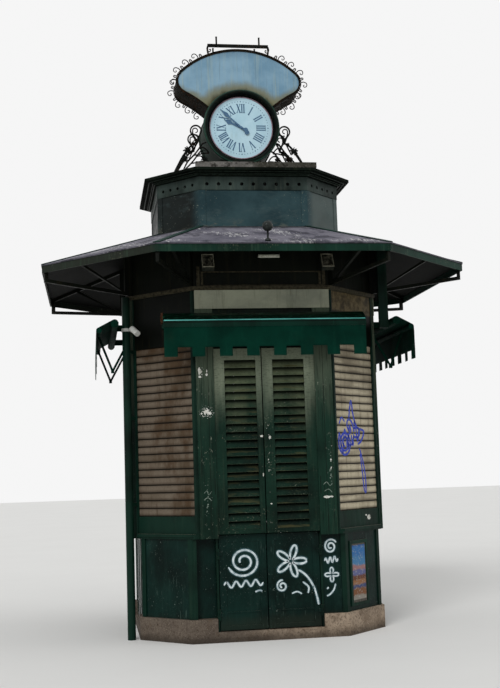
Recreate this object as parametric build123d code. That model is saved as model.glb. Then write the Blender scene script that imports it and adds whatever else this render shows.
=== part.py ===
from build123d import *
from math import asin, atan2, cos, degrees, hypot, pi, radians, sin, sqrt, tan
import os

os.makedirs("parts", exist_ok=True)

# Street kiosk. Millimetres, +Z up, the shop front faces -Y, origin on the ground at the middle of the plan.
# The plan is a square with its corners cut at 45 degrees: four wide main sides and four oblique ones.
# Side 0 is the front, and the sides are numbered anticlockwise seen from above.

# Plan sizes: half distance between opposite main sides, and half width of a main side
BODY_FLAT = 1200
BODY_MAIN = 635
PLINTH_FLAT = 1165
PLINTH_MAIN = 720
BASE_SET = 25
EAVE_FLAT = 2015
EAVE_MAIN = 1022
LANTERN_FLAT = 900
LANTERN_MAIN = 525

# Heights of the levels
FLOOR_TOP = 90
LOW_STONE_TOP = 92
STONE_TOP = 208
BASE_TOP = 922
LEDGE_TALL = 44
LEDGE_STEP_Z = 940
LEAF_FOOT = 958
LEAF_TOP = 2642
ROLLER_FOOT = 1125
ROLLER_TOP = 2700
SIGNBOARD_Z = 3013
WALL_TOP = 3186
MOULDING_TALL = 36
FASCIA_Z = 3390
FASCIA_TALL = 75
LANTERN_Z = 3858
BAND_RISE = 358
BAND_TALL = 129
CORNICE_TALL = 63
ROOF_CAP_RISE = 92
PLATFORM_TALL = 60
CLOCK_RISE = 553

# Fits
JOINT = 0.3
SEAT = 0.3

# Walls and posts
STONE_DEEP = 180
POST_WIDE = 45
POST_DEEP = 60
BEAM_CLEAR = 9
PANEL_THICK = 30
PANEL_SET = 12
RECESS_SET = 70
STILE_IN = 470
STILE_OUT = 632
STILE_THICK = 30
STILE_PROUD = 8
POST_SHOWN = 15
BODY_POST_DEEP = 90
BODY_POST_IN = 590

# Lower door
DOORWAY_HALF = 468
STONE_IN = 488
MEETING_X = -25
DOOR_CLEAR = 7
HINGE_GAP = 2
DOOR_MEETING_GAP = 9
DOOR_THICK = 40
DOOR_SET = 2
DOOR_FOOT_CLEAR = 10
DOOR_TOP = 945
DOOR_BEAD = 6
DOOR_PANEL_INSET = 62
HEAD_Z = 951
HEAD_TALL = 49
HEAD_DEEP = 70
HEAD_PROUD = 10
HEAD_LAP = 8
HINGE_R = 7
HINGE_TALL = 96
HINGE_LEVELS = (240, 780)
HINGE_X = 464.5
HINGE_PLATE_SET = 2
HINGE_PLATE_EDGE = 1
HINGE_PLATE_IN = 30
KNUCKLE_GAP = 0.3
CLOSED_MEETING_HALF = 2

# Fields and cases on the base
RAIL_Z = 250
RAIL_GROOVE = 14
RAIL_FROM_FOOT = 40
CASE_LEFT = -235
CASE_RIGHT = 75
CASE_FOOT = 250
CASE_HEAD = 845
CASE_FRAME = 30
CASE_PROUD = 6
CASE_SUNK = 2
LEDGE_OUT = 1330
LEDGE_IN = 1215
LEDGE_STEP = 12

# Louvred shutters
SHUTTER_SET = 5
SHUTTER_THICK = 44.7
SHUTTER_JOINT = 10
RAIL_FOOT = 38
RAIL_HEAD = 105
FRAME_OUTER = 98
FRAME_MEETING = 50
FRAME_ASTRAGAL = 96
LOUVRE_COUNT = 21
LOUVRE_THICK = 7
LOUVRE_DEEP = 81
LOUVRE_TILT = 62

# Roller shutters
ROLLER_HALF = 340.7
ROLLER_SET = 20
SLAT_PITCH = 71.6
SLAT_THICK = 9
SLAT_BULGE = 5
SLAT_GROOVE = 9
GUIDE_SET = 4
GUIDE_DEEP = 40
SILL_SET = 8
UPPER_SET = 5

# Signboards and frieze
MOULDING_REACH = 40
FRIEZE_LEDGE_OUT = 25
FRIEZE_LEDGE_STEP = 12
SIGNBOARD_THICK = 6
FRIEZE_FIELD_HALF = 540
FRIEZE_FIELD_SUNK = 8
FRIEZE_FIELD_FOOT = 3235
FRIEZE_FIELD_HEAD = 3350

# Roof and eaves
ROOF_THICK = 12
FASCIA_THICK = 15
BRACKET_THICK = 30
BRACKET_BAR = 32
BRACKET_NEAR_Z = 3305
BRACKET_WALL_Z = 3218
BRACKET_WALL_RUN = 845
BRACE_RUN = 330
BRACKET_FROM_EDGE = 1.15
BRACKET_SHARE = 0.8
HIP_CAP_HALF = 34
HIP_CAP_THICK = 9
HANGER_X = (1226, 1316.6)
HANGER_FROM_END = 145
HANGER_WIDE = 40
HANGER_LAP = 55
ROOF_LIP = 6

# Lantern
LANTERN_WALL = 30
LANTERN_TUCK = 40
STRIP_WIDE = 60
STRIP_PROUD = 6
BAND_PROUD = 10
BAND_THICK = 16
HOLE_R = 17
HOLE_PITCH = 112.6
HOLE_RISE = 57
MAIN_HOLE_COUNT = 9
OBLIQUE_HOLE_COUNT = 5
HOLE_BACK_STEP = 4
HOLE_PITCH_OBLIQUE = 93
CORNICE_OUT = 128
CORNICE_NOSE = 26
CORNICE_FOOT_OUT = 22
CORNICE_BACK = 14
COVE_FOOT_TALL = 7
COVE_STEP = 8
COVE_STEP_RISE = 19
COVE_MIDDLE_IN = 24
COVE_DROP = 6
NOSE_UNDER = 20
LANTERN_ROOF_OUT = 50
LANTERN_ROOF_IN = 450
BLOCKING_X = (-566, 606)
BLOCKING_DEEP = 45
BLOCKING_TALL = 52
HOLE_SIDE_COUNT = 6

# Clock
PLATFORM_HALF = 745
PLATFORM_DEEP = 235
SADDLE_HALF = 210
SADDLE_DEEP = 150
SADDLE_RISE = 72
DRUM_R = 385
DRUM_HALF = 215
ROUND_SIDE_COUNT = 40
ROD_SIDE_COUNT = 10
BEZEL_R = 398
BEZEL_SHOULDER_R = 388
BEZEL_CREST_R = 372
BEZEL_LIP_R = 358
BEZEL_RISE = 70
BEZEL_EDGE_SHARE = 0.55
BEZEL_SHOULDER_SHARE = 0.86
BEZEL_LIP_SHARE = 0.88
BEZEL_FOOT = 2
DIAL_R = 333
DIAL_THICK = 6
HAND_THICK = 3
MINUTE_LONG = 296
MINUTE_WIDE = 20
MINUTE_TAIL = 76
HOUR_LONG = 200
HOUR_WIDE = 27
HOUR_TAIL = 50
HUB_R = 13
HUB_CLEAR = 5
HUB_END = 2
TAIL_R = 25
HAND_SIDE_COUNT = 10
CLOCK_MINUTES = 592

# Scroll brackets beside the clock, in the plane of the front
BRACKET_Y = 150
BRACKET_PLATE = 18
LEG_WIDE = 27
BAR_WIDE = 16
CURL_WIDE = 11
KNOT_R = 38
KNOT_SIDE_COUNT = 8
KNOT_FROM_EDGE = 187
KNOT_RISE = -223
RING_FROM_EDGE = 279
RING_RISE = -13
RING_R = 56
LEG_FOOT_EDGE = 33
LEG_FOOT_SPREAD = 90
CRESTING_FROM_EDGE = 360
CRESTING_RISE = -321
CRESTING_R = 30
FOOT_PLATE = 140

# Light box over the clock
SIGN_HALF = 658
SIGN_RISE = 866
SIGN_TIP_R = 140
SIGN_TIP_RISE = 517
SIGN_TIP_TURN = -63
SIGN_FLANK_PULL = 150
SIGN_SEAT_TURN = 33.4
SIGN_DEEP = 340
SIGN_WALL = 12
SIGN_LIP = 20
SIGN_GLASS = 6
FRINGE_THICK = 6
SCROLL_TALL = 66
SCROLL_BAR = 6
SCROLL_PITCH = 58
CROWN_LIFT = 26
CROWN_HALF = 321
CROWN_BAR = 30
CROWN_PIN = 83
CROWN_PIN_X = 226
CROWN_THICK = 24
CROWN_LINK = 16
PIN_HALF = 8
SMALL_SCROLL_SHARE = 0.5
TOP_STEP_COUNT = 8
TIP_STEP_COUNT = 6
FLANK_STEP_COUNT = 4
SEAT_STEP_COUNT = 12

# Awnings
AWNING_HALF = 935
HOOD_DEEP = 195
HOOD_Z = 2822
HOOD_TALL = 146
HOOD_LIP = 60
HOOD_LIP_STEP = 4
VALANCE_FOOT = 2553
VALANCE_THICK = 5
NOTCH_COUNT = 7
NOTCH_PITCH = 247.7
NOTCH_WIDE = 131
NOTCH_TALL = 85
SIDE_BAR_OUT = 300
SIDE_BAR_Z = 2862
SIDE_BAR_R = 26
SIDE_TUBE_OUT = 155
SIDE_TUBE_Z = 2925
SIDE_TUBE_R = 38
ARM_X = 580
ARM_R = 11
ARM_WALL_Z = 2790
ARM_ELBOW_OUT = 175
ARM_ELBOW_Z = 2510
ARM_PLATE_HALF = 30
ARM_PLATE_THICK = 14
ARM_PLATE_RISE = 50
HOOK_HALF = 6
HOOK_RISE = 30
ELBOW_HALF = 15
ELBOW_RISE = 18

# Lamps, camera, drainpipe and roof ball
LAMP_X = (-510, 606)
LAMP_OUT = 110
LAMP_Z = 3424
LAMP_TILT = -28
LAMP_WIDE = 112
LAMP_DEEP = 58
LAMP_TALL = 150
LAMP_ARM_HALF = 14
LAMP_ARM_SET = 10
LAMP_ARM_FOOT = 16
LAMP_ARM_HEAD = 44
TUBE_LAMP_X = (-35, 180)
TUBE_LAMP_Z = 3500
TUBE_LAMP_R = 16
BATTEN_END = 5
BATTEN_SET = 14
BATTEN_FALL = 12
BATTEN_RISE = 14
BALL_X = -50
BALL_FROM_EAVE = 65
BALL_R = 47
BALL_STEM_R = 9
BALL_STEM_TALL = 90
BALL_FOOT_R = 26
BALL_SINK = 0.9
BALL_FOOT_SHARE = 0.6
BALL_ARC = 78
BALL_STEP_COUNT = 8
BALL_SIDE_COUNT = 12
PIPE_AT = (-1243, -690)
PIPE_R = 38
PIPE_SIDE_COUNT = 16
PIPE_BAND_THICK = 8
PIPE_BAND_TALL = 30
PIPE_TOP = BRACKET_WALL_Z - 12
CLIP_LEVELS = (1240, 2050, 2680)
CLIP_DEEP = 62
CLIP_HALF = 15
CLIP_EDGE = 2
CAMERA_Z = 2890
CAMERA_AT = (-1185, -900)
CAMERA_R = 28
CAMERA_TAIL = (-10, 20, -10)
CAMERA_NOSE = (40, -70, -70)
CAMERA_ARM_R = 9
CAMERA_ARM_FROM = 32

MAIN_SIDES = (0, 2, 4, 6)
OBLIQUE_SIDES = (1, 3, 5, 7)
MITRE = tan(radians(22.5))
BAND_Z = LANTERN_Z + BAND_RISE
CORNICE_TOP = BAND_Z + BAND_TALL + CORNICE_TALL
PLATFORM_Z = CORNICE_TOP + ROOF_CAP_RISE
CLOCK_Z = PLATFORM_Z + CLOCK_RISE
LEG_FOOT_OUTER = PLATFORM_HALF - LEG_FOOT_EDGE
LEG_FOOT_INNER = LEG_FOOT_OUTER - LEG_FOOT_SPREAD
KNOT_AT = (PLATFORM_HALF - KNOT_FROM_EDGE, KNOT_RISE)
RING_AT = (PLATFORM_HALF - RING_FROM_EDGE, RING_RISE)
CRESTING_AT = (PLATFORM_HALF - CRESTING_FROM_EDGE, CRESTING_RISE)


def save(name, *solids):
    shape = solids[0] if len(solids) == 1 else Compound(list(solids))
    export_step(shape, f"parts/{name}.step")


def grown(plan, out):
    """Plan moved outwards by the same distance on all eight sides."""
    main, flat = plan
    return (main + out * MITRE, flat + out)


def side_half(plan, i):
    main, flat = plan
    return main if i % 2 == 0 else (flat - main) / sqrt(2)


def side_distance(plan, i):
    main, flat = plan
    return flat if i % 2 == 0 else (flat + main) / sqrt(2)


def corners(plan):
    """Corners of a plan in order, each at the far end of its side."""
    main, flat = plan
    return [
        (main, -flat), (flat, -main), (flat, main), (main, flat),
        (-main, flat), (-flat, main), (-flat, -main), (-main, -flat),
    ]


def on_side(i, plan, shape):
    """Shape drawn with x along the wall, y inwards from its face, moved to side i."""
    return Rot(0, 0, 45 * i) * (Pos(0, -side_distance(plan, i), 0) * shape)


def block(x0, x1, y0, y1, z0, z1):
    return Pos((x0 + x1) / 2, (y0 + y1) / 2, (z0 + z1) / 2) * Box(x1 - x0, y1 - y0, z1 - z0)


def polygon(*points):
    return make_face(Polyline(*points, close=True))


def prism(outline, z0, z1):
    return Pos(0, 0, z0) * extrude(polygon(*outline), z1 - z0)


def both_hands(shape):
    return [shape, mirror(shape, Plane.YZ)]


def board(i, plan, y0, y1, z0, z1, left=None, right=None):
    """Upright board on side i between two depths, mitred at an end with no limit given."""
    half = side_half(plan, i)

    def end(limit, sign, y):
        return sign * (half - y * MITRE - JOINT / 2) if limit is None else limit

    outline = (
        (end(left, -1, y0), y0),
        (end(right, 1, y0), y0),
        (end(right, 1, y1), y1),
        (end(left, -1, y1), y1),
    )
    return on_side(i, plan, prism(outline, z0, z1))


def ring(plan, y0, y1, z0, z1):
    return [board(i, plan, y0, y1, z0, z1) for i in range(8)]


def moulding_ring(plan, section, reach):
    """Moulded section of depth and height carried round all sides with mitred corners."""
    pieces = []
    for i in range(8):
        half = side_half(plan, i)
        run = extrude(Plane.YZ * section, half + reach, both=True)
        span = run.bounding_box()
        outer = half + reach * MITRE - JOINT / 2
        inner = half - reach * MITRE - JOINT / 2
        limits = ((-outer, -reach), (outer, -reach), (inner, reach), (-inner, reach))
        pieces.append(on_side(i, plan, run & prism(limits, span.min.Z - 1, span.max.Z + 1)))
    return pieces


def drum(r, long, count):
    """Upright round body made of flat faces, with corners on its radius."""
    return Pos(0, 0, -long / 2) * extrude(RegularPolygon(r, count), long)


def rod(a, b, r):
    """Straight bar from point a to point b, round but for its few flat faces."""
    start, way = Vector(*a), Vector(*b) - Vector(*a)
    return extrude(Plane(origin=start, z_dir=way) * RegularPolygon(r, ROD_SIDE_COUNT), way.length)


def turned(section, count, closed=False):
    """Body with flat faces round the Z axis, from radius and height pairs."""
    def at(k, r, z):
        turn = 2 * pi * k / count
        return Vector(r * cos(turn), r * sin(turn), z)

    faces = []
    steps = list(zip(section, section[1:] + section[:1])) if closed else list(zip(section, section[1:]))
    for (r0, z0), (r1, z1) in steps:
        for k in range(count):
            faces.append(polygon(at(k, r0, z0), at(k + 1, r0, z0), at(k + 1, r1, z1), at(k, r1, z1)))
    if not closed:
        faces += [polygon(*[at(k, r, z) for k in range(count)]) for r, z in (section[0], section[-1])]
    return Solid(Shell(faces))


def ribbon(points, wide):
    """Flat strip of one width along a broken line, mitred at each bend."""
    line = [Vector(*q) for q in points]
    ways = [(b - a).normalized() for a, b in zip(line, line[1:])]
    left, right = [], []
    for k, q in enumerate(line):
        before, after = ways[max(k - 1, 0)], ways[min(k, len(ways) - 1)]
        way = (before + after).normalized()
        out = Vector(-way.Y, way.X) * (wide / 2 / way.dot(after))
        left.append(q + out)
        right.append(q - out)
    return polygon(*left, *reversed(right))


def arc_points(centre, r, start, end, count):
    """Points along an arc between two angles in degrees."""
    turns = [radians(start + (end - start) * k / count) for k in range(count + 1)]
    return [(centre[0] + r * cos(turn), centre[1] + r * sin(turn)) for turn in turns]


BODY = (BODY_MAIN, BODY_FLAT)
PLINTH = (PLINTH_MAIN, PLINTH_FLAT)
BASE = grown(PLINTH, -BASE_SET)
EAVE = (EAVE_MAIN, EAVE_FLAT)
LANTERN = (LANTERN_MAIN, LANTERN_FLAT)
ROOF_LOW = grown(EAVE, ROOF_LIP)
ROOF_HIGH = grown(LANTERN, SEAT)
STILE_BACK = STILE_THICK - STILE_PROUD


# Stone plinth and floor
def plinth_stones():
    stones = []
    for i in MAIN_SIDES:
        stones.append(board(i, PLINTH, 0, STONE_DEEP, 0, STONE_TOP, right=-STONE_IN - JOINT))
        stones.append(board(i, PLINTH, 0, STONE_DEEP, 0, STONE_TOP, left=STONE_IN + JOINT))
        stones.append(board(i, PLINTH, 0, STONE_DEEP, 0, LOW_STONE_TOP, left=-STONE_IN, right=STONE_IN))
    for i in OBLIQUE_SIDES:
        stones.append(board(i, PLINTH, 0, STONE_DEEP, 0, STONE_TOP))
    return stones


save("plinth_stones", *plinth_stones())
save("floor_slab", prism(corners(grown(PLINTH, -STONE_DEEP - SEAT)), 0, FLOOR_TOP))


# Base walls
BASE_FOOT = STONE_TOP + SEAT
BASE_POST_IN = BASE[0] - POST_WIDE


def corner_post(i, plan, wide, deep, z0, z1):
    """Post in the corner after side i, with a face on each of the two sides."""
    half = side_half(plan, i)
    reach = wide * cos(radians(45))
    back = deep * cos(radians(45))
    outline = (
        (half - wide, 0),
        (half, 0),
        (half + reach, reach),
        (half + reach - back, reach + back),
        (half - deep * MITRE, deep),
        (half - wide, deep),
    )
    return on_side(i, plan, prism(outline, z0, z1))


def base_main_panels():
    near, far = STONE_IN + JOINT, BASE_POST_IN - JOINT
    right = block(near, far, PANEL_SET, PANEL_SET + PANEL_THICK, BASE_FOOT, BASE_TOP)
    left = block(-far, -near, RECESS_SET, RECESS_SET + PANEL_THICK, BASE_FOOT, BASE_TOP)
    return [on_side(i, BASE, shape) for i in MAIN_SIDES for shape in (right, left)]


def ring_beams():
    """Beams over the base beside the doors, which carry the wider walls above."""
    inner = BODY_FLAT - BASE[1] + POST_DEEP
    limit = LEDGE_IN * sqrt(2) - BODY_FLAT - JOINT
    outline = (
        (STONE_IN + BEAM_CLEAR, STILE_BACK + JOINT),
        (limit + STILE_BACK + JOINT, STILE_BACK + JOINT),
        (limit + inner, inner),
        (STONE_IN + BEAM_CLEAR, inner),
    )
    beam = prism(outline, BASE_TOP + SEAT, LEDGE_TOP)
    return [on_side(i, BODY, shape) for i in MAIN_SIDES for shape in both_hands(beam)]


def panelled(x0, x1, y0, z0, z1):
    """Door leaf with one sunk field and a low rail across it."""
    leaf = block(x0, x1, y0, y0 + DOOR_THICK, z0, z1)
    for low, high in ((z0 + RAIL_FROM_FOOT, RAIL_Z), (RAIL_Z + RAIL_GROOVE, z1 - DOOR_PANEL_INSET)):
        leaf -= block(x0 + DOOR_PANEL_INSET, x1 - DOOR_PANEL_INSET, y0 - 1, y0 + DOOR_BEAD, low, high)
    return leaf


def base_oblique_panels():
    half = side_half(BASE, 1) - POST_WIDE - JOINT
    back = block(-half, half, PANEL_SET, PANEL_SET + PANEL_THICK, BASE_FOOT, BASE_TOP)
    return [on_side(i, BASE, back) for i in OBLIQUE_SIDES]


def poster_case():
    outer = block(CASE_LEFT, CASE_RIGHT, -CASE_PROUD, PANEL_SET - SEAT, CASE_FOOT, CASE_HEAD)
    window = block(
        CASE_LEFT + CASE_FRAME,
        CASE_RIGHT - CASE_FRAME,
        -CASE_PROUD - 1,
        CASE_SUNK,
        CASE_FOOT + CASE_FRAME,
        CASE_HEAD - CASE_FRAME,
    )
    return on_side(1, BASE, outer - window)


LEDGE_TOP = BASE_TOP + LEDGE_TALL


def oblique_ledges():
    """Sills over the base of the oblique sides, cut off behind the stiles of the main sides."""
    z0 = BASE_TOP + SEAT
    y0 = side_distance(BODY, 1) - LEDGE_OUT
    y1 = side_distance(BODY, 1) - LEDGE_IN
    section = polygon(
        (y0, LEDGE_TOP), (y0, LEDGE_STEP_Z), (y0 + LEDGE_STEP, LEDGE_STEP_Z),
        (y0 + LEDGE_STEP, z0), (y1, z0), (y1, LEDGE_TOP),
    )
    run = extrude(Plane.YZ * section, BODY_FLAT, both=True)
    reach = BODY_FLAT - STILE_BACK - 2 * JOINT
    inside = block(-reach, reach, -reach, reach, 0, 2 * BASE_TOP)
    return [on_side(i, BODY, run) & inside for i in OBLIQUE_SIDES]


BASE_POSTS = [corner_post(i, BASE, POST_WIDE, POST_DEEP, BASE_FOOT, BASE_TOP) for i in range(8)]
save("base_corner_posts", *BASE_POSTS)
save("base_main_panels", *base_main_panels())
save("base_oblique_panels", *base_oblique_panels())
save("poster_case", poster_case())
save("ring_beams", *ring_beams())
save("oblique_ledges", *oblique_ledges())


# Door frames, the front leaves and the closed leaves of the other sides
DOOR_FOOT = LOW_STONE_TOP + DOOR_FOOT_CLEAR
LEAF_END = DOORWAY_HALF - DOOR_CLEAR
HINGE_OUT = HINGE_R + HINGE_GAP
HINGE_FACE = -HINGE_OUT + HINGE_PLATE_SET


def door_frames():
    """Two jambs and a head to each main side."""
    pieces = []
    head_half = STONE_IN + HEAD_LAP
    for i in MAIN_SIDES:
        jamb = block(DOORWAY_HALF, STONE_IN, 0, POST_DEEP, LOW_STONE_TOP + SEAT, HEAD_Z)
        y0, z0 = -HEAD_PROUD, HEAD_Z + SEAT
        head = block(-head_half, head_half, y0, y0 + HEAD_DEEP, z0, HEAD_Z + HEAD_TALL)
        pieces += [on_side(i, BASE, shape) for shape in (*both_hands(jamb), head)]
    return pieces


def knuckle(x, z, tall):
    return Pos(x, -HINGE_OUT, z) * drum(HINGE_R, tall, ROD_SIDE_COUNT)


def jamb_hinges():
    """Upper and lower knuckle of each hinge, on plates on the jamb."""
    third = HINGE_TALL / 3
    pieces = []
    for level in HINGE_LEVELS:
        for z in (level - third, level + third):
            edge = STONE_IN - HINGE_PLATE_EDGE
            plate = block(HINGE_X, edge, HINGE_FACE, -SEAT, z - third / 2, z + third / 2)
            hinge = knuckle(HINGE_X, z, third) + plate
            pieces += [on_side(0, BASE, shape) for shape in both_hands(hinge)]
    return pieces


def door_leaf(sign):
    """Leaf with its own middle knuckles, hinged at the jamb."""
    near = MEETING_X + sign * DOOR_MEETING_GAP / 2
    x0, x1 = sorted((near, sign * LEAF_END))
    leaf = panelled(x0, x1, DOOR_SET, DOOR_FOOT, DOOR_TOP)
    tall = HINGE_TALL / 3 - 2 * KNUCKLE_GAP
    for level in HINGE_LEVELS:
        e0, e1 = sorted((sign * HINGE_X, sign * (HINGE_X - HINGE_PLATE_IN)))
        plate = block(e0, e1, HINGE_FACE, DOOR_SET, level - tall / 2, level + tall / 2)
        leaf += knuckle(sign * HINGE_X, level, tall) + plate
    return on_side(0, BASE, leaf)


def closed_leaves():
    half_gap = CLOSED_MEETING_HALF
    pieces = []
    for i in (2, 4, 6):
        for x0, x1 in ((-LEAF_END, MEETING_X - half_gap), (MEETING_X + half_gap, LEAF_END)):
            leaf = panelled(x0, x1, DOOR_SET, LOW_STONE_TOP + SEAT, DOOR_TOP)
            pieces.append(on_side(i, BASE, leaf))
    return pieces


save("door_frames", *door_frames())
save("door_hinges", *jamb_hinges())
save("door_leaf_left", door_leaf(-1))
save("door_leaf_right", door_leaf(1))
save("closed_leaves", *closed_leaves())


# Upper walls: posts, stiles and louvred shutters
SHUTTER_HALF = STILE_IN - JOINT


def body_post(i):
    """Post behind the stile at the corner after side i, seen as a strip on the oblique side."""
    y0 = STILE_BACK + JOINT
    end = BODY_MAIN + y0
    reach = POST_SHOWN * cos(radians(45))
    back = BODY_POST_DEEP * cos(radians(45))
    outline = (
        (BODY_POST_IN, y0),
        (end, y0),
        (end + reach, y0 + reach),
        (end + reach - back, y0 + reach + back),
        (BODY_POST_IN, y0 + reach + back),
    )
    return [on_side(i, BODY, shape) for shape in both_hands(prism(outline, LEDGE_TOP + SEAT, WALL_TOP))]


def stile_boards(i):
    stile = block(STILE_IN, STILE_OUT, -STILE_PROUD, STILE_BACK, BASE_TOP, WALL_TOP)
    return [on_side(i, BODY, shape) for shape in both_hands(stile)]


def louvred_leaf(x0, x1, left_frame, right_frame):
    """Frame of stiles and rails and, let in between its stiles, a bank of tilted louvres."""
    y0, y1 = SHUTTER_SET, SHUTTER_SET + SHUTTER_THICK
    low, high = LEAF_FOOT + RAIL_FOOT, LEAF_TOP - RAIL_HEAD
    field_left, field_right = x0 + left_frame, x1 - right_frame
    frame = block(x0, x1, y0, y1, LEAF_FOOT, LEAF_TOP)
    frame -= block(field_left, field_right, y0 - 1, y1 + 1, low, high)
    pitch = (high - low) / LOUVRE_COUNT
    slat = Rot(LOUVRE_TILT, 0, 0) * Box(field_right - field_left - 2 * JOINT, LOUVRE_DEEP, LOUVRE_THICK)
    middle = (field_left + field_right) / 2
    places = [(middle, (y0 + y1) / 2, low + pitch * (k + 0.5)) for k in range(LOUVRE_COUNT)]
    return [frame, *[Pos(*place) * slat for place in places]]


LEAF_LEFT = louvred_leaf(-SHUTTER_HALF, MEETING_X - SHUTTER_JOINT / 2, FRAME_OUTER, FRAME_MEETING)
LEAF_RIGHT = louvred_leaf(MEETING_X + SHUTTER_JOINT / 2, SHUTTER_HALF, FRAME_ASTRAGAL, FRAME_OUTER)
HEADER_HALF = BODY_POST_IN - JOINT


def header_boards():
    """Boards over the shutters, behind the stiles."""
    y0 = STILE_BACK + JOINT
    board_shape = block(-HEADER_HALF, HEADER_HALF, y0, y0 + PANEL_THICK, LEAF_TOP + SEAT, WALL_TOP)
    return [on_side(i, BODY, board_shape) for i in MAIN_SIDES]


save("body_posts", *[post for i in MAIN_SIDES for post in body_post(i)])
save("stile_boards", *[stile for i in MAIN_SIDES for stile in stile_boards(i)])
save("shutter_leaf_left", *[on_side(0, BODY, piece) for piece in LEAF_LEFT])
save("shutter_leaf_right", *[on_side(0, BODY, piece) for piece in LEAF_RIGHT])
save("side_shutters", *[on_side(i, BODY, piece) for i in (2, 4, 6) for piece in (*LEAF_LEFT, *LEAF_RIGHT)])
save("header_boards", *header_boards())


# Oblique walls with roller shutters
GUIDE_OUT = side_half(BODY, 1) - (STILE_BACK + JOINT) * sqrt(2) - POST_SHOWN - JOINT


def roller_curtain():
    """Slats with a shallow bulge and a groove between them, as one hanging sheet."""
    count = round((ROLLER_TOP - ROLLER_FOOT) / SLAT_PITCH)
    pitch = (ROLLER_TOP - ROLLER_FOOT) / count
    outline = []
    for k in range(count):
        z = ROLLER_FOOT + k * pitch
        outline += [(0, z), (-SLAT_BULGE, z + SLAT_GROOVE), (-SLAT_BULGE, z + pitch - SLAT_GROOVE)]
    outline += [(0, ROLLER_TOP), (SLAT_THICK, ROLLER_TOP), (SLAT_THICK, ROLLER_FOOT)]
    sheet = extrude(Plane.YZ * polygon(*outline), ROLLER_HALF, both=True)
    return Pos(0, ROLLER_SET, 0) * sheet


def oblique_walls(x0, x1, y0, deep, z0, z1):
    return [on_side(i, BODY, block(x0, x1, y0, y0 + deep, z0, z1)) for i in OBLIQUE_SIDES]


SILL_Z = LEDGE_TOP + SEAT
GUIDE_IN = ROLLER_HALF + JOINT
save("roller_shutters", *[on_side(i, BODY, roller_curtain()) for i in OBLIQUE_SIDES])
save(
    "roller_guides",
    *oblique_walls(-GUIDE_OUT, -GUIDE_IN, GUIDE_SET, GUIDE_DEEP, ROLLER_FOOT, ROLLER_TOP),
    *oblique_walls(GUIDE_IN, GUIDE_OUT, GUIDE_SET, GUIDE_DEEP, ROLLER_FOOT, ROLLER_TOP),
)
save("sill_panels", *oblique_walls(-GUIDE_OUT, GUIDE_OUT, SILL_SET, PANEL_THICK, SILL_Z, ROLLER_FOOT - SEAT))
save(
    "oblique_upper_panels",
    *oblique_walls(-GUIDE_OUT, GUIDE_OUT, UPPER_SET, PANEL_THICK, ROLLER_TOP + SEAT, WALL_TOP),
)


# Signboards, frieze and the wall up to the roof
def signboards():
    y0, y1 = -STILE_PROUD - SIGNBOARD_THICK, -STILE_PROUD - SEAT
    sheet = block(-STILE_OUT, STILE_OUT, y0, y1, SIGNBOARD_Z, WALL_TOP)
    return [on_side(i, BODY, sheet) for i in MAIN_SIDES]


def frieze_ledge():
    z0 = WALL_TOP + SEAT
    z1 = z0 + MOULDING_TALL
    out, step = FRIEZE_LEDGE_OUT, FRIEZE_LEDGE_STEP
    section = polygon((POST_DEEP, z0), (-step, z0), (-out, z0 + step), (-out, z1), (POST_DEEP, z1))
    return moulding_ring(BODY, section, POST_DEEP + MOULDING_REACH)


FRIEZE_Z = WALL_TOP + MOULDING_TALL + 2 * SEAT


def roof_height(i, distance):
    """Height of the roof's upper face over side i at a distance from the middle."""
    low, high = side_distance(ROOF_LOW, i), side_distance(ROOF_HIGH, i)
    return ROOF_EDGE_Z + (LANTERN_Z - ROOF_EDGE_Z) * (low - distance) / (low - high)


def frieze_boards():
    """Boards from the ledge to the roof's underside, with a sunk field on the main sides."""
    z1 = roof_height(0, BODY_FLAT) - ROOF_THICK - SEAT
    pieces = ring(BODY, 0, POST_DEEP, FRIEZE_Z, z1)
    for i in MAIN_SIDES:
        field = block(
            -FRIEZE_FIELD_HALF, FRIEZE_FIELD_HALF, -1, FRIEZE_FIELD_SUNK, FRIEZE_FIELD_FOOT, FRIEZE_FIELD_HEAD
        )
        pieces[i] -= on_side(i, BODY, field)
    return pieces


ROOF_EDGE_Z = FASCIA_Z + FASCIA_TALL
save("signboards", *signboards())
save("frieze_ledge", *frieze_ledge())
save("frieze_boards", *frieze_boards())


# Eaves and roof
def eave_fascia():
    return ring(EAVE, 0, FASCIA_THICK, FASCIA_Z, ROOF_EDGE_Z - ROOF_THICK - SEAT)


def roof_slopes():
    """Eight sheets that meet on the hips, each as thick in height all over."""
    low, high = corners(ROOF_LOW), corners(ROOF_HIGH)
    sheets = []
    for i in range(8):
        a, b = Vector(*low[i - 1], ROOF_EDGE_Z), Vector(*low[i], ROOF_EDGE_Z)
        d, c = Vector(*high[i - 1], LANTERN_Z), Vector(*high[i], LANTERN_Z)
        step = (b - a).normalized() * JOINT
        face = make_face(Polyline(a + step, b - step, c - step, d + step, close=True))
        sheets.append(extrude(face, ROOF_THICK, dir=(0, 0, -1)))
    return sheets


HIP_RUN = Vector(*corners(ROOF_HIGH)[0]) - Vector(*corners(ROOF_LOW)[0])
HIP_RISE = (LANTERN_Z - ROOF_EDGE_Z) / HIP_RUN.length
HIP_FALL = BRACKET_THICK / 2 * abs(HIP_RUN.X / HIP_RUN.Y) * HIP_RISE


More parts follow.
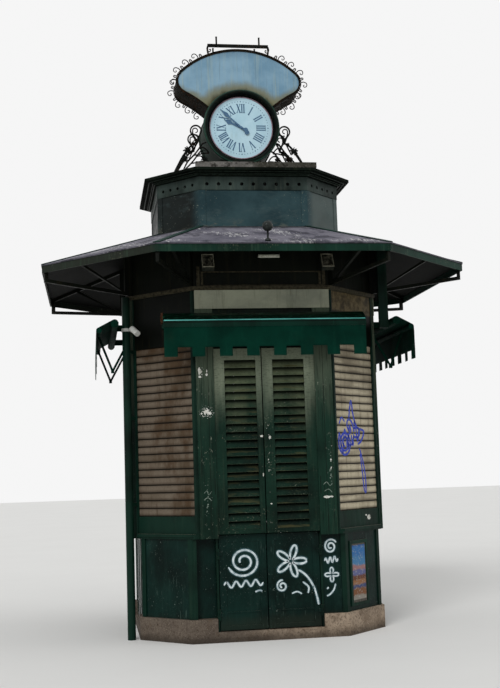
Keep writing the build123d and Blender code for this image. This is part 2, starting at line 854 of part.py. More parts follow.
def hip_caps():
    """Folded strip over each hip, laid on the two sheets that meet there."""
    caps = []
    share = 1 - (STRIP_PROUD + 2 * SEAT) / (ROOF_LOW[1] - ROOF_HIGH[1])
    low_z = ROOF_EDGE_Z + SEAT
    high_z = low_z + share * (LANTERN_Z - ROOF_EDGE_Z)
    for i in range(8):
        low = Vector(*corners(ROOF_LOW)[i])
        high = low + (Vector(*corners(ROOF_HIGH)[i]) - low) * share
        cap = None
        for side, sign in ((i, 1), (i + 1, -1)):
            along = Vector(-sign, 0, 0).rotate(Axis.Z, 45 * side) * HIP_CAP_HALF
            plan_points = ((low, low_z), (low + along, low_z), (high + along, high_z), (high, high_z))
            outline = [Vector(q.X, q.Y, z) for q, z in plan_points]
            half = extrude(polygon(*outline), HIP_CAP_THICK, dir=(0, 0, 1))
            cap = half if cap is None else cap + half
        caps.append(cap)
    return caps


def bracket_bars():
    """Bars under a hip: x runs inwards from the eave corner, y is the height."""
    start = (ROOF_LIP + FASCIA_THICK) * BRACKET_FROM_EDGE + BRACKET_THICK / 2 * MITRE + SEAT
    end = HIP_RUN.length * BRACKET_SHARE
    bar = BRACKET_BAR
    wall = BRACKET_WALL_RUN

    def over(x):
        return ROOF_EDGE_Z + x * HIP_RISE - ROOF_THICK - SEAT - HIP_FALL

    def chord(x):
        return BRACKET_NEAR_Z + (BRACKET_WALL_Z - BRACKET_NEAR_Z) * (x - start) / (end - start)

    rafter = ((start, over(start) - bar), (end, over(end) - bar), (end, over(end)), (start, over(start)))
    tie = ((start, chord(start)), (end, chord(end)), (end, chord(end) + bar), (start, chord(start) + bar))
    low, high = chord(start) + bar + JOINT, over(start) - bar - JOINT
    outer_post = ((start, low), (start + bar, low), (start + bar, high), (start, high))
    inner_post = (
        (wall, chord(wall) + bar + JOINT), (end, chord(end) + bar + JOINT),
        (end, over(end) - bar - JOINT), (wall, over(wall) - bar - JOINT),
    )
    foot, head = wall - JOINT, BRACE_RUN
    brace = (
        (foot - bar, chord(foot - bar) + bar + JOINT), (foot, chord(foot) + bar + JOINT),
        (head + bar, over(head + bar) - bar - JOINT), (head, over(head) - bar - JOINT),
    )
    outlines = (rafter, tie, outer_post, inner_post, brace)
    return [extrude(Plane.XZ * polygon(*outline), BRACKET_THICK / 2, both=True) for outline in outlines]


def eave_brackets():
    bars = bracket_bars()
    wall = prism(corners(grown(BODY, SEAT)), 0, 2 * LANTERN_Z)
    pieces = []
    for i in range(8):
        eave, crown = Vector(*corners(ROOF_LOW)[i]), Vector(*corners(ROOF_HIGH)[i])
        turn = degrees(atan2(crown.Y - eave.Y, crown.X - eave.X))
        pieces += [Pos(eave.X, eave.Y, 0) * (Rot(0, 0, turn) * bar) - wall for bar in bars]
    return pieces


def hanger_board():
    """Post from the roof down to the front end of the right awning."""
    x0, x1 = HANGER_X
    y0 = -AWNING_HALF + HANGER_FROM_END
    y1 = y0 + HANGER_WIDE
    post = block(x0, x1, y0, y1, SIDE_TUBE_Z - HANGER_LAP, LANTERN_Z)
    low, high = corners(ROOF_LOW), corners(ROOF_HIGH)
    for i in (1, 2):
        a, b = Vector(*low[i - 1], ROOF_EDGE_Z), Vector(*low[i], ROOF_EDGE_Z)
        d, c = Vector(*high[i - 1], LANTERN_Z), Vector(*high[i], LANTERN_Z)
        drop = Vector(0, 0, -ROOF_THICK - SEAT)
        post -= extrude(polygon(a + drop, b + drop, c + drop, d + drop), LANTERN_Z, dir=(0, 0, 1))
    return post


save("eave_fascia", *eave_fascia())
save("roof_slopes", *roof_slopes())
save("hip_caps", *hip_caps())
save("eave_brackets", *eave_brackets())
save("hanger_board", hanger_board())


# Lantern
def lantern_strips():
    plan = grown(LANTERN, STRIP_PROUD + SEAT)
    pieces = []
    for i in range(8):
        inner = side_half(plan, i) - STRIP_WIDE
        pieces.append(board(i, plan, 0, STRIP_PROUD, LANTERN_Z + SEAT, BAND_Z - SEAT, left=inner))
        pieces.append(board(i, plan, 0, STRIP_PROUD, LANTERN_Z + SEAT, BAND_Z - SEAT, right=-inner))
    return pieces


def hole_band():
    """Band of vent holes: those of the front, and three of the back, are bored round."""
    plan = grown(LANTERN, BAND_PROUD)
    bore = Cylinder(HOLE_R, 4 * BAND_THICK)
    cut = Pos(0, 0, -2 * BAND_THICK) * extrude(RegularPolygon(HOLE_R, HOLE_SIDE_COUNT), 4 * BAND_THICK)
    pieces = []
    for i in range(8):
        main = i % 2 == 0
        count = MAIN_HOLE_COUNT if main else OBLIQUE_HOLE_COUNT
        pitch = HOLE_PITCH if main else HOLE_PITCH_OBLIQUE
        strip = board(i, plan, 0, BAND_THICK, BAND_Z, BAND_Z + BAND_TALL)
        for k in range(count):
            x = (k - (count - 1) / 2) * pitch
            drill = bore if i == 0 or (i == 4 and k % HOLE_BACK_STEP == 0) else cut
            strip -= on_side(i, plan, Pos(x, 0, BAND_Z + HOLE_RISE) * (Rot(90, 0, 0) * drill))
        pieces.append(strip)
    return pieces


CORNICE_Z = BAND_Z + BAND_TALL + SEAT


def lantern_cornice():
    """Cornice with a hollow cove under a square nose."""
    back, foot, nose = STRIP_PROUD + CORNICE_BACK, -CORNICE_FOOT_OUT, -CORNICE_OUT
    z0, z1, cove_top = CORNICE_Z, CORNICE_TOP, CORNICE_TOP - CORNICE_NOSE
    middle = (foot + nose) / 2 + COVE_MIDDLE_IN
    section = polygon(
        (back, z0), (foot, z0), (foot, z0 + COVE_FOOT_TALL), (foot - COVE_STEP, z0 + COVE_STEP_RISE),
        (middle, cove_top - COVE_DROP), (nose + NOSE_UNDER, cove_top), (nose, cove_top),
        (nose, z1), (back, z1),
    )
    return moulding_ring(LANTERN, section, CORNICE_OUT + MOULDING_REACH)


def lantern_roof():
    """Low roof with eight slopes round a flat top."""
    low = [Vector(x, y, CORNICE_TOP + SEAT) for x, y in corners(grown(LANTERN, LANTERN_ROOF_OUT))]
    high = [Vector(x, y, PLATFORM_Z) for x, y in corners(grown(LANTERN, -LANTERN_ROOF_IN))]
    faces = [polygon(*low), polygon(*high)]
    faces += [polygon(low[i - 1], low[i], high[i], high[i - 1]) for i in range(8)]
    return Solid(Shell(faces))


def blocking_bars():
    x0, x1 = BLOCKING_X
    y0 = -CORNICE_OUT
    bar = block(x0, x1, y0, y0 + BLOCKING_DEEP, CORNICE_TOP + SEAT, CORNICE_TOP + BLOCKING_TALL)
    return [on_side(i, LANTERN, bar) for i in (0, 4)]


save("lantern_walls", *ring(LANTERN, 0, LANTERN_WALL, LANTERN_Z - LANTERN_TUCK, BAND_Z - SEAT))
save("lantern_strips", *lantern_strips())
save("hole_band", *hole_band())
save("lantern_cornice", *lantern_cornice())
save("lantern_roof", lantern_roof())
save("blocking_bars", *blocking_bars())


# Clock
def clock_base():
    """Platform on the lantern's roof and the saddle that carries the drum."""
    z0 = PLATFORM_Z + SEAT
    z1 = z0 + PLATFORM_TALL
    platform = block(-PLATFORM_HALF, PLATFORM_HALF, -PLATFORM_DEEP, PLATFORM_DEEP, z0, z1)
    saddle_top = CLOCK_Z - DRUM_R + SADDLE_RISE
    saddle = block(-SADDLE_HALF, SADDLE_HALF, -SADDLE_DEEP, SADDLE_DEEP, z1 + SEAT, saddle_top)
    hollow = Pos(0, 0, CLOCK_Z) * (Rot(90, 0, 0) * Cylinder(DRUM_R + SEAT, 4 * SADDLE_DEEP))
    return [platform, saddle - hollow]


def clock_drum():
    return Pos(0, 0, CLOCK_Z) * (Rot(90, 0, 0) * drum(DRUM_R, 2 * DRUM_HALF, ROUND_SIDE_COUNT))


def bezel_ring():
    """Moulded ring in front of the dial: a shoulder, a crest and a slope down to the dial."""
    inner = DIAL_R + SEAT
    section = [
        (inner, 0),
        (BEZEL_R, 0),
        (BEZEL_R, BEZEL_RISE * BEZEL_EDGE_SHARE),
        (BEZEL_SHOULDER_R, BEZEL_RISE * BEZEL_SHOULDER_SHARE),
        (BEZEL_CREST_R, BEZEL_RISE),
        (BEZEL_LIP_R, BEZEL_RISE * BEZEL_LIP_SHARE),
        (inner, DIAL_THICK + BEZEL_FOOT),
    ]
    ring_shape = turned(section, ROUND_SIDE_COUNT, closed=True)
    return Pos(0, -DRUM_HALF - SEAT, CLOCK_Z) * (Rot(90, 0, 0) * ring_shape)


def dial():
    y0 = DRUM_HALF + SEAT + DIAL_THICK / 2
    return Pos(0, -y0, CLOCK_Z) * (Rot(90, 0, 0) * drum(DIAL_R, DIAL_THICK, ROUND_SIDE_COUNT))


HAND_NECK = 0.34
HAND_BLADE = ((0.45, 0), (HAND_NECK, 0.5), (0.5, 0.58), (1, 0.68), (0.92, 0.74), (0.4, 0.84), (0.2, 0.92))


def hand(long, wide, tail, hub_from, blade_at, hub_to):
    """Spade hand that points up, on its own tube round the clock's axis."""
    half = [(wide * HAND_NECK, -tail), *[(wide * s, long * h) for s, h in HAND_BLADE]]
    blade = polygon(*half, (0, long), *[(-x, z) for x, z in reversed(half)])
    counterweight = Pos(0, -tail) * RegularPolygon(TAIL_R, HAND_SIDE_COUNT)
    plate = extrude(Plane.XZ * (blade + counterweight), HAND_THICK)
    hub = Rot(90, 0, 0) * drum(HUB_R, hub_to - hub_from, 2 * HAND_SIDE_COUNT)
    hub = Pos(0, -(hub_from + hub_to) / 2, 0) * hub
    return Pos(0, -blade_at, 0) * plate + hub


DIAL_FACE = DRUM_HALF + SEAT + DIAL_THICK
HOUR_Y = DIAL_FACE + HUB_CLEAR
HOUR_HUB_END = HOUR_Y + HAND_THICK + HUB_END
MINUTE_Y = HOUR_Y + HAND_THICK + HUB_CLEAR


def hour_hand():
    made = hand(HOUR_LONG, HOUR_WIDE, HOUR_TAIL, DIAL_FACE + SEAT, HOUR_Y, HOUR_HUB_END)
    return Pos(0, 0, CLOCK_Z) * (Rot(0, CLOCK_MINUTES / 2, 0) * made)


def minute_hand():
    hub_end = MINUTE_Y + HAND_THICK + 2 * HUB_END
    made = hand(MINUTE_LONG, MINUTE_WIDE, MINUTE_TAIL, HOUR_HUB_END + SEAT, MINUTE_Y, hub_end)
    return Pos(0, 0, CLOCK_Z) * (Rot(0, CLOCK_MINUTES % 60 * 6, 0) * made)


save("clock_base", *clock_base())
save("clock_drum", clock_drum())
save("clock_bezels", bezel_ring(), Rot(0, 0, 180) * bezel_ring())
save("clock_dials", dial(), Rot(0, 0, 180) * dial())
save("hour_hand", hour_hand())
save("minute_hand", minute_hand())
save("back_hands", Rot(0, 0, 180) * hour_hand(), Rot(0, 0, 180) * minute_hand())


# Scroll brackets
def scroll_face():
    """Ring, leaf knot, legs, ties and cresting of the right bracket, heights from the clock's axis."""
    foot = PLATFORM_Z + PLATFORM_TALL + 2 * SEAT - CLOCK_Z
    knot_x, knot_z = KNOT_AT
    ring_x, ring_z = RING_AT
    neck = (ring_x - 2, ring_z - 2.3 * RING_R)
    left_hoop = [neck, *arc_points(RING_AT, RING_R, 220, 80, 5)]
    right_hoop = [neck, *arc_points(RING_AT, RING_R, -40, 100, 5)]
    curl = [(ring_x, neck[1] + 20), *arc_points((ring_x + 2, ring_z + 6), RING_R / 2, -60, 200, 4)]
    outer_leg = [
        KNOT_AT, (knot_x + 48, knot_z - 68), (knot_x + 92, knot_z - 146),
        (LEG_FOOT_OUTER - 24, foot + 50), (LEG_FOOT_OUTER, foot),
    ]
    inner_leg = [
        (ring_x - 67, ring_z - 136), (ring_x - 42, ring_z - 170), (ring_x + 2, ring_z - 231),
        (ring_x + 45, ring_z - 279), (ring_x + 95, ring_z - 334),
        (LEG_FOOT_INNER - 22, foot + 70), (LEG_FOOT_INNER, foot),
    ]
    leaf = [neck, (neck[0] + 16, neck[1] - 11), (knot_x - 47, knot_z + 4), (knot_x - 28, knot_z - 37)]
    stem = [(neck[0] + 8, neck[1] - 2), (neck[0] + 40, neck[1] - 22), KNOT_AT]
    tie = [
        (ring_x - 129, ring_z - 238), (ring_x - 104, ring_z - 202), (ring_x - 73, ring_z - 180),
        (ring_x - 36, ring_z - 185), (ring_x - 14, ring_z - 207),
    ]
    lower_tie = [
        (ring_x - 129, ring_z - 238), (ring_x - 79, ring_z - 239), (ring_x - 36, ring_z - 250),
        (ring_x + 31, ring_z - 264),
    ]
    seat_x, seat_z = inner_leg[0]
    shrink = (DRUM_R + SEAT) / hypot(seat_x, seat_z)
    stud = [inner_leg[0], (seat_x * shrink, seat_z * shrink)]
    cresting_stem = [(CRESTING_AT[0], foot), CRESTING_AT]
    face = ribbon(outer_leg, LEG_WIDE)
    for line in (inner_leg, leaf, stem, tie, lower_tie, stud, cresting_stem):
        face += ribbon(line, BAR_WIDE)
    for line in (left_hoop, right_hoop, curl):
        face += ribbon(line, CURL_WIDE)
    for centre, r in ((KNOT_AT, KNOT_R), (CRESTING_AT, CRESTING_R), (neck, BAR_WIDE)):
        face += Pos(*centre) * RegularPolygon(r, KNOT_SIDE_COUNT)
    face += Pos((LEG_FOOT_OUTER + LEG_FOOT_INNER) / 2, foot + BAR_WIDE / 2) * Rectangle(FOOT_PLATE, BAR_WIDE)
    return face - Pos(LEG_FOOT_INNER, foot - BODY_FLAT) * Rectangle(2 * BODY_FLAT, 2 * BODY_FLAT)


def scroll_brackets():
    slab = Pos(0, 0, CLOCK_Z) * extrude(Plane.XZ * scroll_face(), BRACKET_PLATE / 2, both=True)
    slab -= Pos(0, 0, CLOCK_Z) * (Rot(90, 0, 0) * Cylinder(DRUM_R + SEAT, BRACKET_PLATE * 2))
    return [piece for y in (-BRACKET_Y, BRACKET_Y) for piece in both_hands(Pos(0, y, 0) * slab)]


save("scroll_brackets", *scroll_brackets())


# Light box over the clock
def flank_points(start, way, end, count):
    """Points of the hollow flank, which leaves the tip along its own curve."""
    pull = (start[0] + way[0] * SIGN_FLANK_PULL, start[1] + way[1] * SIGN_FLANK_PULL)
    points = []
    for k in range(1, count):
        t = k / count
        weights = ((1 - t) ** 2, 2 * t * (1 - t), t ** 2)
        points.append(tuple(sum(w * q[j] for w, q in zip(weights, (start, pull, end))) for j in (0, 1)))
    return points


def sign_edge():
    """Right half of the fan: a wide arc on top, a rounded tip and a hollow flank."""
    tip = (SIGN_HALF - SIGN_TIP_R, CLOCK_Z + SIGN_TIP_RISE)
    rise = SIGN_RISE - SIGN_TIP_RISE
    top_r = (tip[0] ** 2 + rise ** 2 - SIGN_TIP_R ** 2) / (2 * (rise - SIGN_TIP_R))
    middle = (0, CLOCK_Z + SIGN_RISE - top_r)
    meet = degrees(atan2(tip[1] - middle[1], tip[0]))
    top = arc_points(middle, top_r, 90, meet, TOP_STEP_COUNT)
    end = arc_points(tip, SIGN_TIP_R, meet, SIGN_TIP_TURN, TIP_STEP_COUNT)
    turn = radians(SIGN_TIP_TURN)
    foot = (SEAT_R * cos(radians(SIGN_SEAT_TURN)), CLOCK_Z + SEAT_R * sin(radians(SIGN_SEAT_TURN)))
    flank = flank_points(end[-1], (sin(turn), -cos(turn)), foot, FLANK_STEP_COUNT)
    return top[:-1] + end + flank + [foot]


SEAT_STEP = (180 - 2 * SIGN_SEAT_TURN) / SEAT_STEP_COUNT
SEAT_R = (DRUM_R + SEAT) / cos(radians(SEAT_STEP / 2))
SIGN_EDGE = sign_edge()
SIGN_SEAT = arc_points((0, CLOCK_Z), SEAT_R, SIGN_SEAT_TURN, 180 - SIGN_SEAT_TURN, SEAT_STEP_COUNT)[1:-1]
SIGN_OUTLINE = [*SIGN_EDGE, *SIGN_SEAT, *[(-x, z) for x, z in reversed(SIGN_EDGE[1:])]]


def sign_set(out):
    """Fan outline moved outwards by one distance, with its corners kept sharp."""
    line = [Vector(*q) for q in SIGN_OUTLINE]
    ways = [(b - a).normalized() for a, b in zip(line, line[1:] + line[:1])]
    points = []
    for k, q in enumerate(line):
        way = (ways[k - 1] + ways[k]).normalized()
        points.append(q + Vector(-way.Y, way.X) * (out / way.dot(ways[k])))
    return polygon(*points)


def sign_box():
    """Sheet box, open at both faces, with a lip that holds each pane."""
    outer = extrude(Plane.XZ * sign_set(0), SIGN_DEEP / 2, both=True)
    inner = extrude(Plane.XZ * sign_set(-SIGN_WALL), SIGN_DEEP / 2 - SIGN_GLASS, both=True)
    mouth = extrude(Plane.XZ * sign_set(-SIGN_LIP), SIGN_DEEP / 2 + 1, both=True)
    return outer - inner - mouth


def sign_glass():
    """Pane behind each lip."""
    face = Plane.XZ * sign_set(-SIGN_WALL - SEAT)
    y = SIGN_DEEP / 2 - SIGN_GLASS - SEAT
    return [Pos(0, y, 0) * extrude(face, SIGN_GLASS), Pos(0, SIGN_GLASS - y, 0) * extrude(face, SIGN_GLASS)]


LARGE_SCROLL = ((-0.36, 0), (-0.42, 0.5), (-0.05, 0.97), (0.4, 0.75), (0.3, 0.42), (0.08, 0.48))
SMALL_SCROLL = ((-0.2, 0), (-0.3, 0.6), (0.2, 0.95), (0.35, 0.55))
SCROLLS = ((LARGE_SCROLL, SCROLL_TALL), (SMALL_SCROLL, SCROLL_TALL * SMALL_SCROLL_SHARE))


def fringe_face():
    """Strip round the fan with a row of curls, open under the crown bar and at the clock."""
    strip = sign_set(SCROLL_BAR + SEAT) - sign_set(SEAT)
    line = [Vector(*q) for q in SIGN_EDGE]
    gone, next_at, k = 0, 0, 0
    for a, b in zip(line, line[1:]):
        way = (b - a).normalized()
        out = Vector(-way.Y, way.X)
        while next_at <= gone + (b - a).length:
            place = a + way * (next_at - gone) + out * (SCROLL_BAR / 2 + SEAT)
            motif, tall = SCROLLS[k % 2]
            reach = place + out * tall
            by_clock = hypot(reach.X, reach.Y - CLOCK_Z) < BEZEL_R + SCROLL_TALL
            if place.X > CROWN_HALF + SCROLL_TALL / 2 and not by_clock:
                line_up = [place + way * (s * tall) + out * (h * tall) for s, h in motif]
                right = ribbon([(q.X, q.Y) for q in line_up], SCROLL_BAR)
                strip += right + mirror(right, Plane.YZ)
            next_at += SCROLL_PITCH
            k += 1
        gone += (b - a).length
    return strip - Pos(0, CLOCK_Z) * Circle(BEZEL_R + 2)


def sign_fringe():
    plate = extrude(Plane.XZ * fringe_face(), FRINGE_THICK)
    y = SIGN_DEEP / 2 - FRINGE_THICK
    return [Pos(0, -y, 0) * plate, Pos(0, y + FRINGE_THICK, 0) * plate]


def crown_bars():
    """Bar over each face of the fan with two pins, a curled link at each end down to the strip."""
    z0 = CLOCK_Z + SIGN_RISE + CROWN_LIFT
    top = z0 + CROWN_BAR
    y = SIGN_DEEP / 2 - CROWN_THICK / 2
    half = CROWN_THICK / 2
    foot = Vector(CROWN_HALF, 0)
    for a, b in zip(SIGN_EDGE, SIGN_EDGE[1:]):
        if a[0] <= CROWN_HALF <= b[0]:
            foot = Vector(CROWN_HALF, a[1] + (b[1] - a[1]) * (CROWN_HALF - a[0]) / (b[0] - a[0]))
    bar = block(-CROWN_HALF, CROWN_HALF, -half, half, z0, top)
    for x in (-CROWN_PIN_X, CROWN_PIN_X):
        bar += block(x - PIN_HALF, x + PIN_HALF, -PIN_HALF, PIN_HALF, top, top + CROWN_PIN)
    curl = [
        (CROWN_HALF - 24, z0 + CROWN_BAR / 2), (CROWN_HALF - 3, z0 + 4), (CROWN_HALF + 2, z0 - 28),
        (CROWN_HALF - 8, foot.Y - SCROLL_BAR),
    ]
    link = extrude(Plane.XZ * ribbon(curl, CROWN_LINK), half, both=True)
    bar += link + mirror(link, Plane.YZ)
    strip = extrude(Plane.XZ * sign_set(SCROLL_BAR + 2 * SEAT), CROWN_THICK, both=True)
    return [Pos(0, -y, 0) * (bar - strip), Pos(0, y, 0) * (bar - strip)]


save("sign_box", sign_box())
save("sign_glass", *sign_glass())
save("sign_fringe", *sign_fringe())
save("crown_bar", *crown_bars())


# Front awning
HOOD_BACK = ((40, 0), (80, 0.1), (125, 0.4))
HOOD_FRONT = ((20, 0.78), (8, 1))


def awning_case():
    """Closed box with a rounded hood and a lip on its front."""
    y0, y1 = -STILE_PROUD - SEAT, -HOOD_DEEP
    z0, z1 = HOOD_Z, HOOD_Z + HOOD_TALL
    drop = HOOD_TALL - HOOD_LIP
    section = polygon(
        (y0, z0),
        (y0, z1),
        *[(y0 - out, z1 - fall * drop) for out, fall in HOOD_BACK],
        *[(y1 + inside, z1 - fall * drop) for inside, fall in HOOD_FRONT],
        (y1, z1 - drop - HOOD_LIP_STEP),
        (y1, z0),
    )
    return on_side(0, BODY, extrude(Plane.YZ * section, AWNING_HALF, both=True))


def valance(i, out, foot, top):
    """Hanging cloth with a row of square notches in its lower edge."""
    half = AWNING_HALF - VALANCE_THICK
    sheet = block(-half, half, -out, -out + VALANCE_THICK, foot, top)
    for k in range(NOTCH_COUNT):
        x = (k - (NOTCH_COUNT - 1) / 2) * NOTCH_PITCH
        near, far = -out - VALANCE_THICK, -out + 2 * VALANCE_THICK
        sheet -= block(x - NOTCH_WIDE / 2, x + NOTCH_WIDE / 2, near, far, foot - 1, foot + NOTCH_TALL)
    return on_side(i, BODY, sheet)


save("awning_case", awning_case())
save("awning_valance", valance(0, HOOD_DEEP, VALANCE_FOOT, HOOD_Z - SEAT))


# Side awnings: roller tube, cloth, front bar and folding arms
SIDE_WALL = STILE_PROUD + SEAT


def side_awning_frame(i):
    """Tube and bar along the side, and on both hands a wall hook, a wall plate and a folded arm."""
    def along(out, z, r):
        return rod((-AWNING_HALF, -out, z), (AWNING_HALF, -out, z), r)

    tube = along(SIDE_TUBE_OUT, SIDE_TUBE_Z, SIDE_TUBE_R)
    bar = along(SIDE_BAR_OUT, SIDE_BAR_Z, SIDE_BAR_R)
    hook = block(
        ARM_X - HOOK_HALF, ARM_X + HOOK_HALF, -SIDE_TUBE_OUT, -SIDE_WALL,
        SIDE_TUBE_Z - HOOK_RISE, SIDE_TUBE_Z + HOOK_RISE,
    )
    hook -= along(SIDE_TUBE_OUT, SIDE_TUBE_Z, SIDE_TUBE_R + SEAT)
    plate_face = SIDE_WALL + ARM_PLATE_THICK
    plate = block(
        ARM_X - ARM_PLATE_HALF, ARM_X + ARM_PLATE_HALF, -plate_face, -SIDE_WALL,
        ARM_WALL_Z - ARM_PLATE_RISE, ARM_WALL_Z + ARM_PLATE_RISE,
    )
    elbow = (ARM_X, -ARM_ELBOW_OUT, ARM_ELBOW_Z)
    rear_arm = rod((ARM_X, -plate_face, ARM_WALL_Z), elbow, ARM_R)
    front_arm = rod(elbow, (ARM_X, -SIDE_BAR_OUT, SIDE_BAR_Z - SIDE_BAR_R), ARM_R)
    knuckle_ball = block(
        ARM_X - ELBOW_HALF, ARM_X + ELBOW_HALF, -ARM_ELBOW_OUT - ELBOW_HALF, -ARM_ELBOW_OUT + ELBOW_HALF,
        ARM_ELBOW_Z - ELBOW_RISE, ARM_ELBOW_Z + ELBOW_RISE,
    )
    clear = along(SIDE_BAR_OUT, SIDE_BAR_Z, SIDE_BAR_R + SEAT)
    arm = rear_arm + front_arm + knuckle_ball - clear
    arm -= block(0, AWNING_HALF, -plate_face - SEAT, 0, 0, LANTERN_Z)
    pieces = [tube, bar]
    for shape in (hook, plate, arm):
        pieces += both_hands(shape)
    return [on_side(i, BODY, piece) for piece in pieces]


def side_cloth(i):
    """Cloth laid over the roller tube and the front bar, out to the flap."""
    sheet = polygon(
        (-CLOTH_START.X, CLOTH_START.Y),
        (-CLOTH_START.X, CLOTH_START.Y + VALANCE_THICK),
        (-CLOTH_END.X, CLOTH_END.Y + VALANCE_THICK),
        (-CLOTH_END.X, CLOTH_END.Y),
    )
    return on_side(i, BODY, extrude(Plane.YZ * sheet, AWNING_HALF - VALANCE_THICK, both=True))


SIDE_FLAP = SIDE_BAR_OUT + SIDE_BAR_R + SEAT + VALANCE_THICK
TUBE_AXIS = Vector(SIDE_TUBE_OUT, SIDE_TUBE_Z)
BAR_AXIS = Vector(SIDE_BAR_OUT, SIDE_BAR_Z)
CLOTH_TURN = degrees(asin((SIDE_TUBE_R - SIDE_BAR_R) / (BAR_AXIS - TUBE_AXIS).length))
CLOTH_RUN = (BAR_AXIS - TUBE_AXIS).rotate(Axis.Z, -CLOTH_TURN)
CLOTH_UP = CLOTH_RUN.normalized().rotate(Axis.Z, 90)
CLOTH_START = TUBE_AXIS + CLOTH_UP * (SIDE_TUBE_R + SEAT)
CLOTH_END = CLOTH_START + CLOTH_RUN * ((SIDE_FLAP - CLOTH_START.X) / CLOTH_RUN.X)
save("side_awning_frames", *side_awning_frame(2), *side_awning_frame(6))
save("side_awning_cloths", side_cloth(2), side_cloth(6))
save(
    "side_awning_valances",
    valance(2, SIDE_FLAP, VALANCE_FOOT, CLOTH_END.Y - SEAT),
    valance(6, SIDE_FLAP, VALANCE_FOOT, CLOTH_END.Y - SEAT),
)


# Lamps, camera, roof ball and drainpipe
def eave_lamps():
    """Two flood lamps on arms and a tube lamp, all on the front of the frieze boards."""
    pieces = []
    for x in LAMP_X:
        head = Pos(x, -LAMP_OUT, LAMP_Z) * (Rot(LAMP_TILT, 0, 0) * Box(LAMP_WIDE, LAMP_DEEP, LAMP_TALL))
        y0, z0, z1 = -LAMP_OUT + LAMP_ARM_SET, LAMP_Z + LAMP_ARM_FOOT, LAMP_Z + LAMP_ARM_HEAD
        arm = block(x - LAMP_ARM_HALF, x + LAMP_ARM_HALF, y0, -SEAT, z0, z1)
        pieces.append(on_side(0, BODY, head + arm))
    x0, x1 = TUBE_LAMP_X
    out = 2 * TUBE_LAMP_R
    tube = rod((x0, -out, TUBE_LAMP_Z), (x1, -out, TUBE_LAMP_Z), TUBE_LAMP_R)
    z0, z1 = TUBE_LAMP_Z - BATTEN_FALL, TUBE_LAMP_Z + BATTEN_RISE
    batten = block(x0 + BATTEN_END, x1 - BATTEN_END, -out + BATTEN_SET, -SEAT, z0, z1)
    pieces.append(on_side(0, BODY, tube + batten))
    return pieces


def roof_ball():
    """Ball on a short stem at the front edge of the roof."""
    y = ROOF_LOW[1] - BALL_FROM_EAVE
    slope = degrees(atan2(LANTERN_Z - ROOF_EDGE_Z, ROOF_LOW[1] - ROOF_HIGH[1]))
    turns = [radians(-BALL_ARC + 2 * BALL_ARC * k / BALL_STEP_COUNT) for k in range(BALL_STEP_COUNT + 1)]
    middle = BALL_STEM_TALL + BALL_R * BALL_SINK
    globe = [(BALL_R * cos(t), middle + BALL_R * sin(t)) for t in turns]
    section = [
        (BALL_FOOT_R, -BALL_FOOT_R), (BALL_FOOT_R, BALL_FOOT_R * BALL_FOOT_SHARE), (BALL_STEM_R, BALL_FOOT_R),
        (BALL_STEM_R, globe[0][1]), *globe,
    ]
    foot = Pos(BALL_X, -y, roof_height(0, y))
    ground = Pos(0, 0, -BALL_R * 2) * Box(BALL_R * 8, BALL_R * 8, BALL_R * 4)
    under = Pos(0, 0, SEAT) * (Rot(slope, 0, 0) * ground)
    return foot * (turned(section, BALL_SIDE_COUNT) - under)


def wall_camera():
    """Bullet camera with its arm, which is clamped to the drainpipe."""
    x, y = PIPE_AT
    z = CAMERA_Z
    joint = Vector(*CAMERA_AT, z)
    arm = rod((x + CAMERA_ARM_FROM, y - CAMERA_ARM_FROM, z), joint, CAMERA_ARM_R)
    body = rod(joint + Vector(*CAMERA_TAIL), joint + Vector(*CAMERA_NOSE), CAMERA_R)
    band = Pos(x, y, z) * drum(PIPE_R + PIPE_BAND_THICK, PIPE_BAND_TALL, PIPE_SIDE_COUNT)
    return arm + body + band - Pos(x, y, z) * drum(PIPE_R + SEAT, 2 * PIPE_BAND_TALL, PIPE_SIDE_COUNT)


def drainpipe():
    x, y = PIPE_AT
    pipe = Pos(x, y, PIPE_TOP / 2) * drum(PIPE_R, PIPE_TOP, PIPE_SIDE_COUNT)
    for z in CLIP_LEVELS:
        x0, x1 = -GUIDE_OUT - POST_SHOWN, -GUIDE_OUT - CLIP_EDGE
        pipe += on_side(7, BODY, block(x0, x1, -CLIP_DEEP, -SEAT, z - CLIP_HALF, z + CLIP_HALF))
    return pipe


save("eave_lamps", *eave_lamps())
save("roof_ball", roof_ball())
save("wall_camera", wall_camera())
save("drainpipe", drainpipe())
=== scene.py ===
import math
import random

import bmesh
import bpy
from mathutils import Matrix, Vector


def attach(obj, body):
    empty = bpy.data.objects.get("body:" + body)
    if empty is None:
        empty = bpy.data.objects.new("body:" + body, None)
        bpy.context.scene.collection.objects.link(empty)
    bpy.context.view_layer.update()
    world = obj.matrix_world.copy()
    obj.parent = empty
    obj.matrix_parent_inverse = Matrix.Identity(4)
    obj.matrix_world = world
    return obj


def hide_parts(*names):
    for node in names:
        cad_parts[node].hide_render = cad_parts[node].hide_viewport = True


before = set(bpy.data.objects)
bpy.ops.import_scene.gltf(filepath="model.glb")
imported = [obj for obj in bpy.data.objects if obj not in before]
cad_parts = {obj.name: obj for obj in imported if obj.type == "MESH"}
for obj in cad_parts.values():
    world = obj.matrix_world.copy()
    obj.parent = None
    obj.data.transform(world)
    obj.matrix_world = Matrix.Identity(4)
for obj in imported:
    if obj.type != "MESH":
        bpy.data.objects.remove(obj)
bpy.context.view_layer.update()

# Street kiosk. Metres, +Z up, the shop front faces -Y. Helper lengths are given in millimetres.
MM = 0.001
WALL, OBLIQUE_WALL = 1200, 1297.541
BASE_WALL, OBLIQUE_BASE = 1140, 1307.9
LANTERN = (525, 900)
PLATFORM_TOP = 4500 + 60.6
CLOCK_Z = 5053
ROLLER_FOOT = 1125
SLAT_PITCH = 1575 / 22


